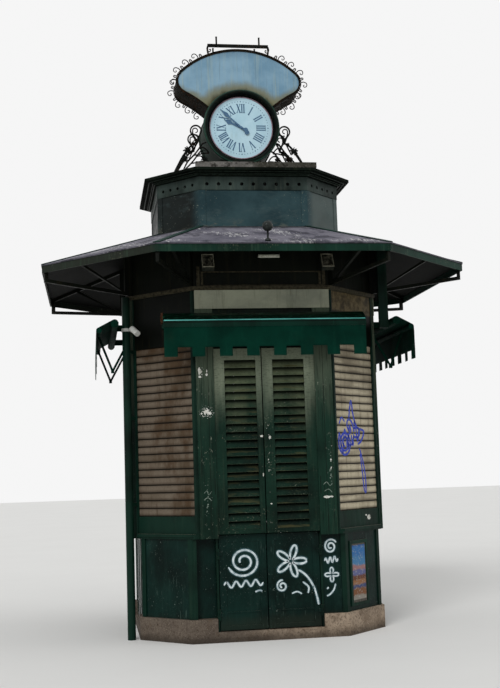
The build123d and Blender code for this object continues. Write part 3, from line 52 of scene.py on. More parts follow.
# Camera of the photograph
def make_camera():
    yaw, pitch, roll = 0.1463, 0.1151, -0.0323
    focal_pixels, picture_height, sensor = 1095.744, 688, 36
    forward = Vector((math.sin(yaw) * math.cos(pitch), math.cos(yaw) * math.cos(pitch), math.sin(pitch)))
    level = Vector((math.cos(yaw), -math.sin(yaw), 0))
    upright = level.cross(forward)
    right = math.cos(roll) * level + math.sin(roll) * upright
    up = -math.sin(roll) * level + math.cos(roll) * upright
    turn = Matrix((right, up, -forward)).transposed().to_4x4()
    data = bpy.data.cameras.new("photo_camera")
    data.sensor_width = sensor
    data.lens = focal_pixels / picture_height * sensor
    data.clip_end = 200
    camera = bpy.data.objects.new("photo_camera", data)
    camera.matrix_world = Matrix.Translation((-1.5898, -11.139, 1.52)) @ turn
    bpy.context.scene.collection.objects.link(camera)
    bpy.context.scene.camera = camera


make_camera()


# Procedural materials
DUST = (92, 92, 82)
GREEN = (12, 38, 29)
GREEN_PALE = (62, 80, 66)
GREEN_DARK = (6, 19, 14)


def colour(r, g, b):
    """Linear colour from the usual 0 to 255 values."""
    def channel(v):
        v /= 255
        return v / 12.92 if v <= 0.04045 else ((v + 0.055) / 1.055) ** 2.4
    return (channel(r), channel(g), channel(b), 1)


class Paint:
    """Node tree of one material. Each layer goes over the tone so far, which is the shader's base colour."""

    def __init__(self, name, roughness=0.5, metallic=0.0, specular=0.07):
        self.material = bpy.data.materials.new(name)
        self.material.use_nodes = True
        self.tree = self.material.node_tree
        self.shader = self.tree.nodes["Principled BSDF"]
        self.shader.inputs["Roughness"].default_value = roughness
        self.shader.inputs["Metallic"].default_value = metallic
        self.shader.inputs["Specular IOR Level"].default_value = specular
        self.place = self.tree.nodes.new("ShaderNodeTexCoord").outputs["Object"]
        self.split = None
        self.tone = None

    def put(self, socket, value):
        if isinstance(value, bpy.types.NodeSocket):
            self.tree.links.new(value, socket)
        else:
            socket.default_value = value

    def axis(self, letter):
        if self.split is None:
            self.split = self.tree.nodes.new("ShaderNodeSeparateXYZ")
            self.put(self.split.inputs[0], self.place)
        return self.split.outputs[letter]

    def facing(self, letter):
        geometry = self.tree.nodes.new("ShaderNodeNewGeometry")
        split = self.tree.nodes.new("ShaderNodeSeparateXYZ")
        self.put(split.inputs[0], geometry.outputs["True Normal"])
        return split.outputs[letter]

    def noise(self, scale, detail=4.0, rough=0.6, stretch=(1, 1, 1), shift=(0, 0, 0)):
        place = self.tree.nodes.new("ShaderNodeMapping")
        self.put(place.inputs["Vector"], self.place)
        place.inputs["Scale"].default_value = stretch
        place.inputs["Location"].default_value = shift
        made = self.tree.nodes.new("ShaderNodeTexNoise")
        self.put(made.inputs["Vector"], place.outputs[0])
        made.inputs["Scale"].default_value = scale
        made.inputs["Detail"].default_value = detail
        made.inputs["Roughness"].default_value = rough
        return made.outputs["Fac"]

    def cells(self, scale, stretch=(1, 1, 1)):
        place = self.tree.nodes.new("ShaderNodeMapping")
        self.put(place.inputs["Vector"], self.place)
        place.inputs["Scale"].default_value = stretch
        made = self.tree.nodes.new("ShaderNodeTexVoronoi")
        self.put(made.inputs["Vector"], place.outputs[0])
        made.inputs["Scale"].default_value = scale
        return made.outputs["Distance"]

    def math(self, kind, a, b=0.0):
        made = self.tree.nodes.new("ShaderNodeMath")
        made.operation = kind
        self.put(made.inputs[0], a)
        self.put(made.inputs[1], b)
        return made.outputs[0]

    def times(self, a, b):
        return self.math("MULTIPLY", a, b)

    def plus(self, a, b):
        return self.math("ADD", a, b)

    def wander(self, letter, reach, *noise):
        """Place along an axis, made uneven by noise."""
        return self.plus(self.axis(letter), self.times(self.noise(*noise), reach))

    def clock_reach(self):
        """Distance from the clock's axis."""
        across = self.math("POWER", self.math("ABSOLUTE", self.axis("X")), 2.0)
        fall = self.math("SUBTRACT", self.axis("Z"), CLOCK_Z * MM)
        rise = self.math("POWER", self.math("ABSOLUTE", fall), 2.0)
        return self.math("POWER", self.plus(across, rise), 0.5)

    def span(self, value, low, high, start=0.0, end=1.0):
        """Value carried from low..high to start..end, smooth and clamped."""
        made = self.tree.nodes.new("ShaderNodeMapRange")
        made.interpolation_type = "SMOOTHSTEP"
        self.put(made.inputs["Value"], value)
        for name, amount in (("From Min", low), ("From Max", high), ("To Min", start), ("To Max", end)):
            made.inputs[name].default_value = amount
        return made.outputs[0]

    def spots(self, low, high, most, *noise):
        """Share from 0 to most, where noise rises from low to high."""
        return self.span(self.noise(*noise), low, high, 0, most)

    def mix(self, share, a, b):
        made = self.tree.nodes.new("ShaderNodeMix")
        made.data_type = "RGBA"
        self.put(made.inputs[0], share)
        for socket, value in ((made.inputs[6], a), (made.inputs[7], b)):
            self.put(socket, colour(*value) if isinstance(value, tuple) else value)
        return made.outputs[2]

    def base(self, tone):
        self.tone = tone
        self.put(self.shader.inputs["Base Color"], tone)

    def patches(self, main, other, low, high, *noise):
        self.base(self.mix(self.spots(low, high, 1, *noise), main, other))

    def over(self, share, tone):
        self.base(self.mix(share, self.tone, tone))

    def layer(self, tone, low, high, most, *noise):
        """Colour laid over in spots; gives back the noise that places them."""
        field = self.noise(*noise)
        self.over(self.span(field, low, high, 0, most), tone)
        return field

    def dust(self, most, tone=DUST):
        """Dust on what faces up."""
        self.over(self.span(self.facing("Z"), 0.35, 0.9, 0, most), tone)

    def rough(self, value):
        self.put(self.shader.inputs["Roughness"], value)

    def bump(self, height, depth, strength=0.6):
        made = self.tree.nodes.new("ShaderNodeBump")
        made.inputs["Strength"].default_value = strength
        made.inputs["Distance"].default_value = depth
        self.put(made.inputs["Height"], height)
        self.put(self.shader.inputs["Normal"], made.outputs[0])


def worn_paint(name, main, light, dark, wear=0.5, streak=0.5, top=None, gloss=0.42, specular=0.07):
    """Old gloss paint: patches, rain streaks, chips down to a paler coat, dust on what faces up."""
    p = Paint(name, gloss, 0, specular)
    p.patches(main, dark, 0.35, 0.7, 2.3, 5, 0.6)
    rain = p.layer(light, 0.55 - 0.05 * streak, 0.85, streak, 13, 6, 0.65, (2.2, 2.2, 0.1))
    grain = p.layer(dark, 0.5, 0.8, 0.4, 70, 5, 0.6, (1.5, 1.5, 0.06))
    chips = p.times(p.noise(38, 9, 0.75, (1, 1, 0.5)), p.spots(0.4, 0.7, 1, 1.7, 3))
    p.over(p.span(chips, 0.60, 0.66, 0, wear), light)
    if top is not None:
        p.dust(0.75, top)
    p.rough(p.span(p.plus(rain, grain), 0.7, 1.3, gloss - 0.12, gloss + 0.25))
    p.bump(p.plus(grain, p.times(chips, 2.0)), 0.0012, 0.5)
    return p.material


def stile_paint():
    """Green corner boards: bleached at the top, two shades lower down, dark joints between the boards."""
    p = Paint("stile_paint", 0.45)
    p.patches((18, 44, 34), (7, 26, 19), 0.35, 0.7, 2.3, 5, 0.6)
    height = p.wander("Z", 0.8, 5, 5, 0.6, (2, 2, 0.5))
    bleach = p.span(height, 2.25, 3.1, 0, 0.95)
    p.over(bleach, (72, 82, 68))
    p.layer((50, 66, 53), 0.5, 0.75, 0.55, 15, 7, 0.7, (2.0, 2.0, 0.1))
    grain = p.layer((6, 17, 12), 0.48, 0.7, 0.65, 60, 6, 0.65, (1.8, 1.8, 0.06))
    chips = p.times(p.spots(0.6, 0.66, 1, 60, 6, 0.7, (1, 1, 0.5)), p.spots(0.5, 0.62, 1, 3.1, 3))
    p.over(chips, (116, 122, 108))
    p.dust(0.7)
    p.rough(p.span(bleach, 0, 0.95, 0.36, 0.66))
    p.bump(p.plus(grain, p.times(chips, 0.5)), 0.0018, 0.7)
    return p.material


def door_paint():
    """Dark glossy green of the doors and lower panels: cloudy, with fine scratches, specks and drips."""
    p = Paint("green_paint_low", 0.3)
    p.patches((10, 36, 31), (4, 18, 15), 0.32, 0.68, 2.1, 5, 0.6)
    cloud = p.layer((24, 50, 44), 0.5, 0.72, 0.5, 5.5, 7, 0.7, (1, 1, 0.5), (3, 1, 0))
    rain = p.layer((36, 60, 54), 0.56, 0.8, 0.4, 18, 6, 0.65, (2.2, 2.2, 0.09))
    specks = p.times(p.spots(0.655, 0.69, 1, 85, 4, 0.6), p.spots(0.45, 0.6, 1, 4, 3))
    p.over(specks, (112, 126, 118))
    scratch = p.times(p.spots(0.66, 0.7, 1, 40, 3, 0.5, (3.2, 3.2, 0.16)), p.spots(0.5, 0.64, 1, 3, 3))
    p.over(p.times(scratch, 0.6), (84, 104, 96))
    foot = p.wander("Z", 0.12, 9, 5)
    p.over(p.span(foot, 0.2, 0.32, 0.5, 0), (34, 38, 30))
    p.dust(0.6)
    p.rough(p.span(p.plus(rain, cloud), 0.7, 1.3, 0.2, 0.5))
    p.bump(p.plus(rain, p.times(cloud, 0.6)), 0.0012, 0.5)
    return p.material


def lantern_paint():
    """Slate green walls of the lantern, with painted shade making the left facets nearly black and painted
    light paling the right ones, and cloudy pale wear along their foot.
    """
    p = Paint("lantern_paint", 0.4, 0, 0.04)
    p.patches((50, 72, 76), (33, 52, 57), 0.32, 0.68, 2.6, 5, 0.6)
    # Painted shade: the facets on the left darkened nearly to black.
    left = p.span(p.axis("X"), -0.62, -0.5, 1, 0)
    p.over(p.times(left, 0.85), (24, 22, 18))
    # Painted light: the facets on the right paled.
    right = p.span(p.axis("X"), 0.52, 0.62)
    p.over(p.times(right, 0.45), (110, 116, 110))
    cloud = p.layer((70, 84, 84), 0.5, 0.7, 0.55, 4.5, 8, 0.72, (0.8, 0.8, 2.0), (2, 0, 1))
    low = p.wander("Z", 0.5, 3.2, 6, 0.65)
    worn = p.times(p.span(low, 4.06, 4.2, 1, 0), p.spots(0.47, 0.62, 1, 7, 7, 0.75, (1, 1, 2.5)))
    p.over(p.times(worn, 0.7), (96, 98, 88))
    specks = p.times(p.spots(0.64, 0.68, 1, 70, 4, 0.6), p.spots(0.46, 0.6, 1, 5, 3))
    p.over(specks, (126, 134, 122))
    p.rough(p.span(cloud, 0.3, 0.7, 0.36, 0.6))
    p.bump(cloud, 0.003, 0.4)
    return p.material


def fascia_paint():
    """Edge of the eaves: streaked green, brown grey on the left sides, with a bare upper edge."""
    p = Paint("fascia_paint", 0.5)
    p.patches((15, 46, 36), (7, 28, 20), 0.35, 0.7, 2.3, 5, 0.6)
    left = p.span(p.wander("X", 0.3, 3, 4), -1.0, -0.8, 1, 0)
    p.over(p.times(left, 0.8), (34, 35, 29))
    rain = p.layer((58, 80, 64), 0.5, 0.78, 0.45, 15, 6, 0.65, (2.2, 2.2, 0.1))
    p.layer((6, 14, 10), 0.58, 0.72, 0.5, 26, 5, 0.6, (2.2, 2.2, 0.08), (5, 2, 0))
    chips = p.times(p.spots(0.6, 0.66, 1, 60, 6, 0.7), p.spots(0.5, 0.62, 1, 3.1, 3))
    p.over(chips, (118, 118, 100))
    p.dust(0.75)
    p.bump(rain, 0.001, 0.4)
    return p.material


def shutter_paint():
    """Green louvred shutters: bleached olive towards the top, grain along the slats, a painted highlight on
    the faces that look down, painted shade deeper in.
    """
    p = Paint("shutter_paint", 0.5)
    wander = p.wander("Z", 0.9, 3.4, 5, 0.6, (2.5, 2.5, 0.35))
    bleach = p.span(wander, 2.25, 3.05, 0, 0.95)
    p.patches((16, 42, 32), (6, 22, 16), 0.35, 0.7, 2.6, 5)
    slat = p.span(p.math("ABSOLUTE", p.facing("Z")), 0.1, 0.3)
    p.over(bleach, p.mix(slat, (112, 120, 102), (84, 92, 70)))
    band = p.noise(12, 4, 0.6, (0.25, 0.25, 2.4))
    p.over(p.times(p.span(band, 0.52, 0.66, 0, 0.55), slat), (74, 70, 42))
    p.layer((50, 64, 50), 0.5, 0.75, 0.5, 22, 7, 0.7, (2.4, 2.4, 0.09))
    grain = p.layer((6, 15, 10), 0.48, 0.72, 0.65, 90, 7, 0.7, (0.35, 0.35, 1.6))
    # Painted highlight: faces that look down are paled, as the lit lower edges of the slats.
    edge = p.span(p.times(p.facing("Z"), -1.0), 0.35, 0.75, 0, 0.6)
    p.over(edge, (92, 102, 82))
    chips = p.times(p.spots(0.6, 0.66, 1, 70, 6, 0.7), p.spots(0.5, 0.64, 1, 3.4, 3))
    p.over(chips, (122, 126, 108))
    # Painted shade: the deeper parts of the louvres, set back in the leaf, darkened nearly to black.
    recess_shade = p.span(p.axis("Y"), -1.187, -1.16, 0, 0.9)
    p.over(recess_shade, (2, 6, 4))
    p.rough(p.span(bleach, 0, 0.95, 0.4, 0.7))
    p.bump(p.plus(grain, chips), 0.0014, 0.6)
    return p.material


def upper_paint():
    """Panels over the roller curtains: nearly black with the eave's painted shade, with a faded tan strip low
    down on the right.
    """
    p = Paint("upper_paint", 0.45)
    # Painted shade: the dark green of the panels darkened nearly to black, as in the shadow of the eave.
    p.patches((10, 14, 9), (4, 6, 4), 0.35, 0.7, 2.6, 5)
    right = p.span(p.axis("X"), 0.3, 0.5)
    height = p.wander("Z", 0.03, 6, 6)
    strip = p.times(right, p.times(p.span(height, 3.0, 3.03), p.span(height, 3.19, 3.21, 1, 0)))
    tan = p.mix(p.spots(0.42, 0.62, 1, 9, 7, 0.7), (96, 84, 58), (52, 44, 26))
    p.over(strip, tan)
    rain = p.layer((46, 40, 22), 0.54, 0.78, 0.5, 16, 6, 0.65, (2, 2, 0.12))
    p.bump(rain, 0.001, 0.4)
    return p.material


def curtain_paint():
    """Roller curtains: rusty brown grey on the left, cream on the right, painted shade towards the edges of
    each slat and nearly black painted shade in the gaps between the slats.
    """
    p = Paint("roller_curtain", 0.55, 0.0)
    side = p.span(p.axis("X"), -0.2, 0.2)
    p.base(p.mix(side, (100, 90, 78), (176, 167, 144)))
    blot = p.noise(3.2, 6, 0.65, (1, 1, 0.55))
    rust = p.span(p.plus(blot, p.times(p.axis("Z"), 0.06)), 0.56, 0.76)
    p.over(p.times(rust, p.span(side, 0, 1, 0.85, 0.35)), (60, 42, 24))
    phase = p.math("DIVIDE", p.math("SUBTRACT", p.axis("Z"), ROLLER_FOOT * MM), SLAT_PITCH * MM)
    wander = p.times(p.math("SUBTRACT", p.noise(7, 4, 0.6, (1, 1, 0.1)), 0.5), 0.12)
    phase = p.math("FRACT", p.plus(phase, wander))
    p.layer((70, 60, 46), 0.5, 0.66, 0.35, 13, 2, 0.5, (0.15, 0.15, 1.0))
    rain = p.layer((60, 50, 36), 0.5, 0.74, 0.6, 22, 7, 0.7, (1.5, 1.5, 0.1))
    fine = p.layer((36, 29, 20), 0.5, 0.75, 0.5, 90, 8, 0.7)
    # Painted shade: each slat darkened towards its lower and upper edges, most at its foot.
    shade = p.math("MAXIMUM", p.span(phase, 0.1, 0.5, 0.62, 0), p.span(phase, 0.72, 0.98, 0, 0.4))
    p.over(shade, (40, 32, 22))
    # Painted shade: the gaps between the slats nearly black.
    groove = p.math("MAXIMUM", p.span(phase, 0.05, 0.2, 1, 0), p.span(phase, 0.93, 0.98, 0, 1))
    p.over(p.times(groove, 0.93), (10, 8, 5))
    p.bump(p.plus(fine, p.times(rain, 0.5)), 0.0012, 0.5)
    return p.material


def signboard_paint():
    """Pale grey green boards, streaked and yellowed."""
    p = Paint("signboard_paint", 0.6)
    p.patches((152, 156, 136), (124, 128, 114), 0.35, 0.7, 4, 6, 0.65, (0.6, 1, 1))
    p.layer((62, 64, 44), 0.52, 0.75, 0.6, 26, 7, 0.7, (1.6, 1.6, 0.12))
    p.layer((132, 130, 108), 0.5, 0.8, 0.4, 80, 8, 0.7)
    p.bump(p.noise(60, 6), 0.001, 0.4)
    return p.material


def roof_paint():
    """Old roof sheets: purple grey with white flakes and dark stains, dark at the lantern's foot, with near
    black painted shade on the undersides under the eaves.
    """
    p = Paint("roof_sheet", 0.7, 0, 0.05)
    p.patches((128, 126, 135), (82, 81, 92), 0.32, 0.7, 1.9, 5, 0.6)
    p.layer((46, 46, 54), 0.48, 0.62, 0.8, 5, 8, 0.72, (1, 0.5, 1), (4, 0, 0))
    lean = p.math("SUBTRACT", p.math("ABSOLUTE", p.facing("X")), p.math("ABSOLUTE", p.facing("Y")))
    across = p.span(lean, -0.05, 0.05)
    down_front = p.noise(22, 9, 0.78, (2.2, 0.35, 0.35))
    down_side = p.noise(22, 9, 0.78, (0.35, 2.2, 0.35))
    flakes = p.plus(p.times(down_side, across), p.times(down_front, p.span(across, 0, 1, 1, 0)))
    flakes = p.times(flakes, p.span(p.noise(2.0, 4), 0.46, 0.6, 0.78, 1.04))
    p.over(p.span(flakes, 0.52, 0.57, 0, 0.9), (186, 186, 186))
    p.layer((58, 57, 66), 0.52, 0.74, 0.6, 24, 7, 0.7, (1, 0.1, 1), (4, 0, 0))
    p.layer((50, 50, 55), 0.5, 0.72, 0.55, 70, 8, 0.7)
    foot = p.wander("Z", 0.05, 6, 5)
    p.over(p.span(foot, 3.82, 3.87, 0, 0.8), (22, 24, 24))
    # Painted shade: the undersides of the sheets, under the eaves, nearly black.
    under = p.mix(p.spots(0.35, 0.7, 1, 3, 6), (9, 11, 8), (3, 4, 3))
    p.base(p.mix(p.span(p.facing("Z"), -0.1, 0.1), under, p.tone))
    p.bump(p.plus(p.noise(60, 8), flakes), 0.003, 0.5)
    return p.material


def hood_paint():
    """Awning case: teal lip, nearly black above its edge, mottled along the top."""
    p = Paint("awning_case", 0.35)
    p.patches((3, 42, 32), (1, 26, 18), 0.35, 0.7, 3, 5)
    rain = p.layer((24, 74, 58), 0.55, 0.8, 0.4, 16, 6, 0.65, (2, 2, 0.15))
    hood = p.span(p.axis("Z"), 2.885, 2.9)
    dark = p.mix(p.spots(0.5, 0.66, 1, 30, 7, 0.75), (2, 16, 9), (26, 62, 46))
    p.over(p.times(hood, 0.9), dark)
    p.bump(rain, 0.001, 0.4)
    return p.material


def stone_paint():
    """Speckled tan stone, greyer and darker towards the left and at the foot, with stains and small pits."""
    p = Paint("plinth_stone", 0.85, 0, 0.15)
    p.patches((152, 136, 118), (114, 99, 84), 0.35, 0.68, 5, 6, 0.7)
    left = p.wander("X", 0.3, 4, 5)
    p.over(p.span(left, -0.25, 0.5, 0.72, 0), (58, 53, 50))
    p.layer((58, 48, 38), 0.48, 0.64, 0.8, 48, 8, 0.75)
    p.over(p.span(p.cells(95), 0.0, 0.32, 0.5, 0), (176, 164, 146))
    p.layer((74, 56, 38), 0.55, 0.7, 0.6, 9, 7, 0.72, (1, 1, 0.45))
    pits = p.times(p.span(p.cells(17), 0.0, 0.16, 1, 0), p.spots(0.5, 0.6, 1, 6, 2))
    p.over(pits, (20, 16, 12))
    foot = p.wander("Z", -0.08, 9, 5)
    p.over(p.span(foot, -0.03, 0.05, 0.65, 0), (34, 29, 24))
    p.bump(p.plus(p.noise(48, 8, 0.75), p.times(p.cells(95), 0.4)), 0.004, 0.8)
    return p.material


def concrete_paint():
    p = Paint("floor_concrete", 0.9, 0, 0.3)
    p.patches((122, 119, 112), (88, 85, 79), 0.35, 0.7, 6, 7, 0.7)
    p.layer((60, 57, 52), 0.5, 0.75, 0.6, 80, 8, 0.7)
    p.bump(p.noise(70, 8), 0.003, 0.6)
    return p.material


def dial_paint():
    p = Paint("dial_enamel", 0.32)
    p.patches((184, 214, 226), (166, 200, 214), 0.35, 0.7, 4, 5)
    rain = p.layer((146, 168, 168), 0.55, 0.8, 0.4, 16, 6, 0.65, (1.4, 1, 0.3))
    p.rough(p.span(rain, 0.3, 0.8, 0.24, 0.5))
    return p.material


def ink_paint():
    p = Paint("clock_blue", 0.45)
    p.patches((84, 114, 142), (62, 92, 120), 0.35, 0.7, 70, 6)
    p.bump(p.noise(120, 6), 0.0004, 0.4)
    return p.material


def iron_paint(name, main, rust, share):
    """Black painted iron that rusts in spots."""
    p = Paint(name, 0.6, 0, 0.02)
    p.patches(main, (12, 13, 12), 0.35, 0.7, 9, 5)
    spots = p.layer(rust, 0.52, 0.68, share, 26, 8, 0.75)
    p.rough(p.span(spots, 0.4, 0.7, 0.5, 0.9))
    p.bump(spots, 0.0015, 0.6)
    return p.material


def bezel_paint():
    """Clock case: green black, with a painted highlight along the rounded ring, black towards the dial."""
    p = Paint("bezel_paint", 0.55, 0, 0.03)
    reach = p.clock_reach()
    p.patches((17, 26, 22), (9, 14, 12), 0.35, 0.7, 9, 5)
    # Painted highlight along the rounded ring.
    p.over(p.span(reach, 0.377, 0.384, 0, 0.5), (58, 74, 66))
    p.over(p.span(reach, 0.352, 0.36, 1, 0), (6, 8, 7))
    p.layer((48, 44, 30), 0.52, 0.66, 0.5, 30, 8, 0.75)
    p.bump(p.noise(30, 8, 0.75), 0.0012, 0.5)
    return p.material


def blocking_paint():
    """Rough pale bars on the cornice, blotched with soot and darker on the right."""
    p = Paint("blocking_paint", 0.8, 0, 0.04)
    p.patches((104, 102, 99), (74, 72, 68), 0.35, 0.65, 5, 6, 0.65)
    right = p.span(p.wander("X", 0.2, 6, 5), 0.02, 0.16, 0, 0.72)
    p.over(right, (36, 36, 26))
    soot = p.layer((22, 21, 16), 0.48, 0.6, 0.85, 15, 8, 0.75, (1, 1, 1.6))
    p.layer((150, 148, 138), 0.55, 0.68, 0.6, 60, 8, 0.75)
    p.bump(soot, 0.003, 0.7)
    return p.material


def pane_paint():
    """Opal panes: pale blue grey, upright streaks, olive dirt over the clock and along the lower edges."""
    p = Paint("sign_pane", 0.28)
    p.patches((128, 160, 180), (104, 138, 160), 0.35, 0.7, 3, 4)
    high = p.wander("Z", 0.1, 4, 4)
    p.over(p.span(high, 5.82, 5.95, 0, 0.5), (84, 112, 132))
    rain = p.layer((150, 166, 160), 0.48, 0.7, 0.6, 20, 6, 0.65, (1.6, 1, 0.05))
    p.layer((96, 118, 124), 0.56, 0.7, 0.4, 30, 5, 0.6, (1.4, 1, 0.06), (3, 0, 0))
    reach = p.plus(p.clock_reach(), p.times(p.noise(16, 6, 0.6, (1, 1, 0.4)), 0.09))
    low = p.wander("Z", 0.1, 12, 6, 0.6)
    side = p.times(p.math("ABSOLUTE", p.axis("X")), 0.42)
    flank = p.math("SUBTRACT", low, side)
    p.over(p.span(flank, 5.25, 5.34, 0.9, 0), (112, 112, 88))
    p.over(p.span(reach, 0.5, 0.6, 0.9, 0), (116, 116, 92))
    p.over(p.span(reach, 0.45, 0.51, 0.85, 0), (60, 56, 36))
    p.rough(p.span(rain, 0.4, 0.8, 0.2, 0.45))
    return p.material


def cloth_paint():
    """Awning cloth: teal green weave, stained and faded in places."""
    p = Paint("awning_cloth", 0.85, 0, 0.05)
    p.patches((3, 46, 35), (1, 32, 24), 0.35, 0.7, 3, 5)
    p.layer((20, 66, 52), 0.55, 0.8, 0.4, 14, 6, 0.65, (1.6, 1.6, 0.2))
    stain = p.spots(0.58, 0.74, 1, 2.1, 5, 0.6)
    p.over(p.times(stain, 0.45), (26, 44, 32))
    hem = p.wander("Z", 0.03, 22, 5)
    p.over(p.span(hem, 2.566, 2.58, 0.5, 0), (40, 70, 56))
    weave = p.plus(p.noise(420, 2, 0.5, (1, 1, 4)), p.noise(420, 2, 0.5, (4, 4, 1)))
    p.bump(p.plus(weave, p.noise(12, 4)), 0.0012, 0.5)
    return p.material


def plain_paint(name, main, other, roughness=0.5, metallic=0.0, scale=40, bump=0.0006):
    """Two close tones and a slight grain."""
    p = Paint(name, roughness, metallic)
    p.patches(main, other, 0.38, 0.68, scale, 7, 0.7)
    p.bump(p.noise(scale * 3, 6), bump, 0.5)
    return p.material


mats = {
    "green": worn_paint("green_paint", GREEN, GREEN_PALE, GREEN_DARK, 0.4, 0.35, DUST),
    "stile": stile_paint(),
    "green_low": door_paint(),
    # Painted shade: green darkened nearly to black for the frieze and eave brackets in the eave's shadow.
    "green_painted_shade": worn_paint("green_paint_in_shade", (14, 18, 12), (52, 46, 30), (6, 8, 5), 0.35, 0.55, DUST),
    "fascia": fascia_paint(),
    "case": worn_paint("case_paint", (14, 44, 34), (66, 88, 72), (5, 20, 14), 0.7, 0.6, DUST),
    "hip": worn_paint("hip_paint", (20, 44, 38), (70, 84, 76), (8, 20, 16), 0.5, 0.5, (34, 56, 50)),
    "lantern": lantern_paint(),
    "band": worn_paint("band_paint", (56, 68, 64), (98, 104, 92), (20, 28, 25), 0.7, 0.6, DUST),
    # Cornice paint: dark green darkened nearly to black, partly the painted shade of the cove under the
    # cornice's edge.
    "cornice": worn_paint("cornice_paint", (15, 22, 17), (54, 58, 44), (3, 6, 4), 0.6, 0.6, DUST, 0.72, 0.03),
    "grey": worn_paint(
        "grey_paint", (40, 42, 38), (84, 82, 72), (14, 14, 11), 0.8, 0.8, (88, 87, 80), 0.7, 0.03,
    ),
    "awning_metal": worn_paint(
        "awning_metal", (3, 40, 30), (26, 78, 62), (1, 22, 14), 0.25, 0.3, (8, 34, 24), 0.66, 0.04,
    ),
    # Painted highlight: pale teal for the strip along the awning case's edge.
    "awning_painted_highlight": worn_paint(
        "awning_painted_highlight", (108, 196, 188), (150, 214, 204), (74, 150, 142), 0.3, 0.3, None, 0.3,
    ),
    "shutter": shutter_paint(),
    "header": worn_paint("header_paint", (15, 30, 22), (66, 62, 42), (6, 11, 8), 0.5, 0.6, DUST),
    "upper": upper_paint(),
    "curtain": curtain_paint(),
    "signboard": signboard_paint(),
    "side_shutter": worn_paint(
        "side_shutter_paint", (17, 42, 32), (60, 74, 58), (8, 23, 17), 0.5, 0.5, (50, 58, 46),
    ),
    "roof": roof_paint(),
    "cap": worn_paint("lantern_roof_paint", (96, 96, 98), (136, 136, 134), (66, 66, 68), 0.5, 0.5, None, 0.6),
    "hood": hood_paint(),
    "stone": stone_paint(),
    "concrete": concrete_paint(),
    "dial": dial_paint(),
    "ink": ink_paint(),
    "iron": iron_paint("wrought_iron", (26, 28, 26), (74, 46, 28), 0.5),
    "bezel": bezel_paint(),
    "blocking": blocking_paint(),
    # Painted highlight: pale green for the thin ring on the bezel's outer edge.
    "bezel_painted_highlight": plain_paint("bezel_painted_highlight", (40, 88, 72), (18, 44, 36), 0.35),
    "pink_rim": plain_paint("dial_rim", (150, 128, 138), (104, 84, 92), 0.4),
    "ball": plain_paint("ball_metal", (46, 50, 48), (26, 30, 30), 0.25, 0.3),
    "sign_metal": iron_paint("sign_metal", (26, 21, 14), (66, 38, 18), 0.7),
    "pane": pane_paint(),
    "cloth": cloth_paint(),
    "lamp": plain_paint("lamp_metal", (30, 34, 30), (54, 54, 46), 0.5, 0.3),
    # Lamp glass as a dark opaque pane with pale patches of painted reflection and glints.
    "lamp_glass_glints": plain_paint("lamp_glass_glints", (22, 22, 19), (104, 102, 88), 0.18, 0, 26),
    "tube_glass": plain_paint("tube_glass", (186, 188, 176), (150, 150, 134), 0.3),
    "steel": plain_paint("steel_fittings", (84, 82, 76), (58, 50, 42), 0.45, 0.7),
    "white": plain_paint("white_plastic", (196, 198, 194), (168, 168, 160), 0.45),
    # Paler green of the cornice's rolls: a painted highlight.
    "cornice_roll_highlight": plain_paint("cornice_roll_highlight", (38, 50, 42), (10, 14, 10), 0.4),
    "ledge": plain_paint("ledge_paint", (62, 58, 44), (26, 24, 16), 0.5),
    "black": plain_paint("black_gap", (10, 11, 10), (18, 18, 16), 0.8),
    "spray_white": plain_paint("spray_white", (204, 214, 216), (144, 160, 166), 0.7, 0, 24),
    "spray_faint": plain_paint("spray_faint", (128, 140, 130), (76, 92, 82), 0.7, 0, 24),
    "spray_haze": plain_paint("spray_haze", (48, 76, 80), (30, 56, 56), 0.7, 0, 60),
    "spray_blue": plain_paint("spray_blue", (52, 66, 168), (74, 86, 150), 0.6, 0, 24),
    "splash": plain_paint("splash_white", (208, 208, 202), (160, 160, 150), 0.8, 0, 30),
    "orange": plain_paint("rusty_brown", (78, 50, 32), (46, 28, 18), 0.7),
    "pale_metal": plain_paint("pale_metal", (142, 140, 124), (92, 90, 74), 0.45),
}

NODE_MATERIALS = {
    "stone": ("plinth_stones",),
    "concrete": ("floor_slab",),
    "green": (
        "base_corner_posts", "body_posts", "door_frames", "sill_panels", "roller_guides",
        "oblique_ledges", "ring_beams", "drainpipe", "door_hinges", "hanger_board",
    ),
    "stile": ("stile_boards",),
    "hip": ("hip_caps",),
    "green_low": (
        "base_main_panels", "base_oblique_panels", "door_leaf_left", "door_leaf_right", "closed_leaves",
    ),
    # Frieze boards and eave brackets take the green darkened with painted shade.
    "green_painted_shade": ("frieze_boards", "eave_brackets"),
    "upper": ("oblique_upper_panels",),
    "ledge": ("frieze_ledge",),
    "fascia": ("eave_fascia",),
    "case": ("poster_case",),
    "header": ("header_boards",),
    "shutter": ("shutter_leaf_left", "shutter_leaf_right"),
    "side_shutter": ("side_shutters",),
    "curtain": ("roller_shutters",),
    "signboard": ("signboards",),
    "roof": ("roof_slopes",),
    "cap": ("lantern_roof",),
    "lantern": ("lantern_walls", "lantern_strips"),
    "band": ("hole_band",),
    "cornice": ("lantern_cornice",),
    "grey": ("clock_base",),
    "blocking": ("blocking_bars",),
    "dial": ("clock_dials",),
    "ink": ("hour_hand", "minute_hand", "back_hands"),
    "iron": ("scroll_brackets", "sign_fringe", "crown_bar", "roof_ball"),
    "bezel": ("clock_bezels", "clock_drum"),
    "sign_metal": ("sign_box",),
    "pane": ("sign_glass",),
    "awning_metal": ("side_awning_frames",),
    "hood": ("awning_case",),
    "cloth": ("awning_valance", "side_awning_cloths", "side_awning_valances"),
    "lamp": ("eave_lamps",),
    "white": ("wall_camera",),
}
for key, names in NODE_MATERIALS.items():
    for name in names:
        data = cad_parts[name].data
        data.materials.clear()
        data.materials.append(mats[key])


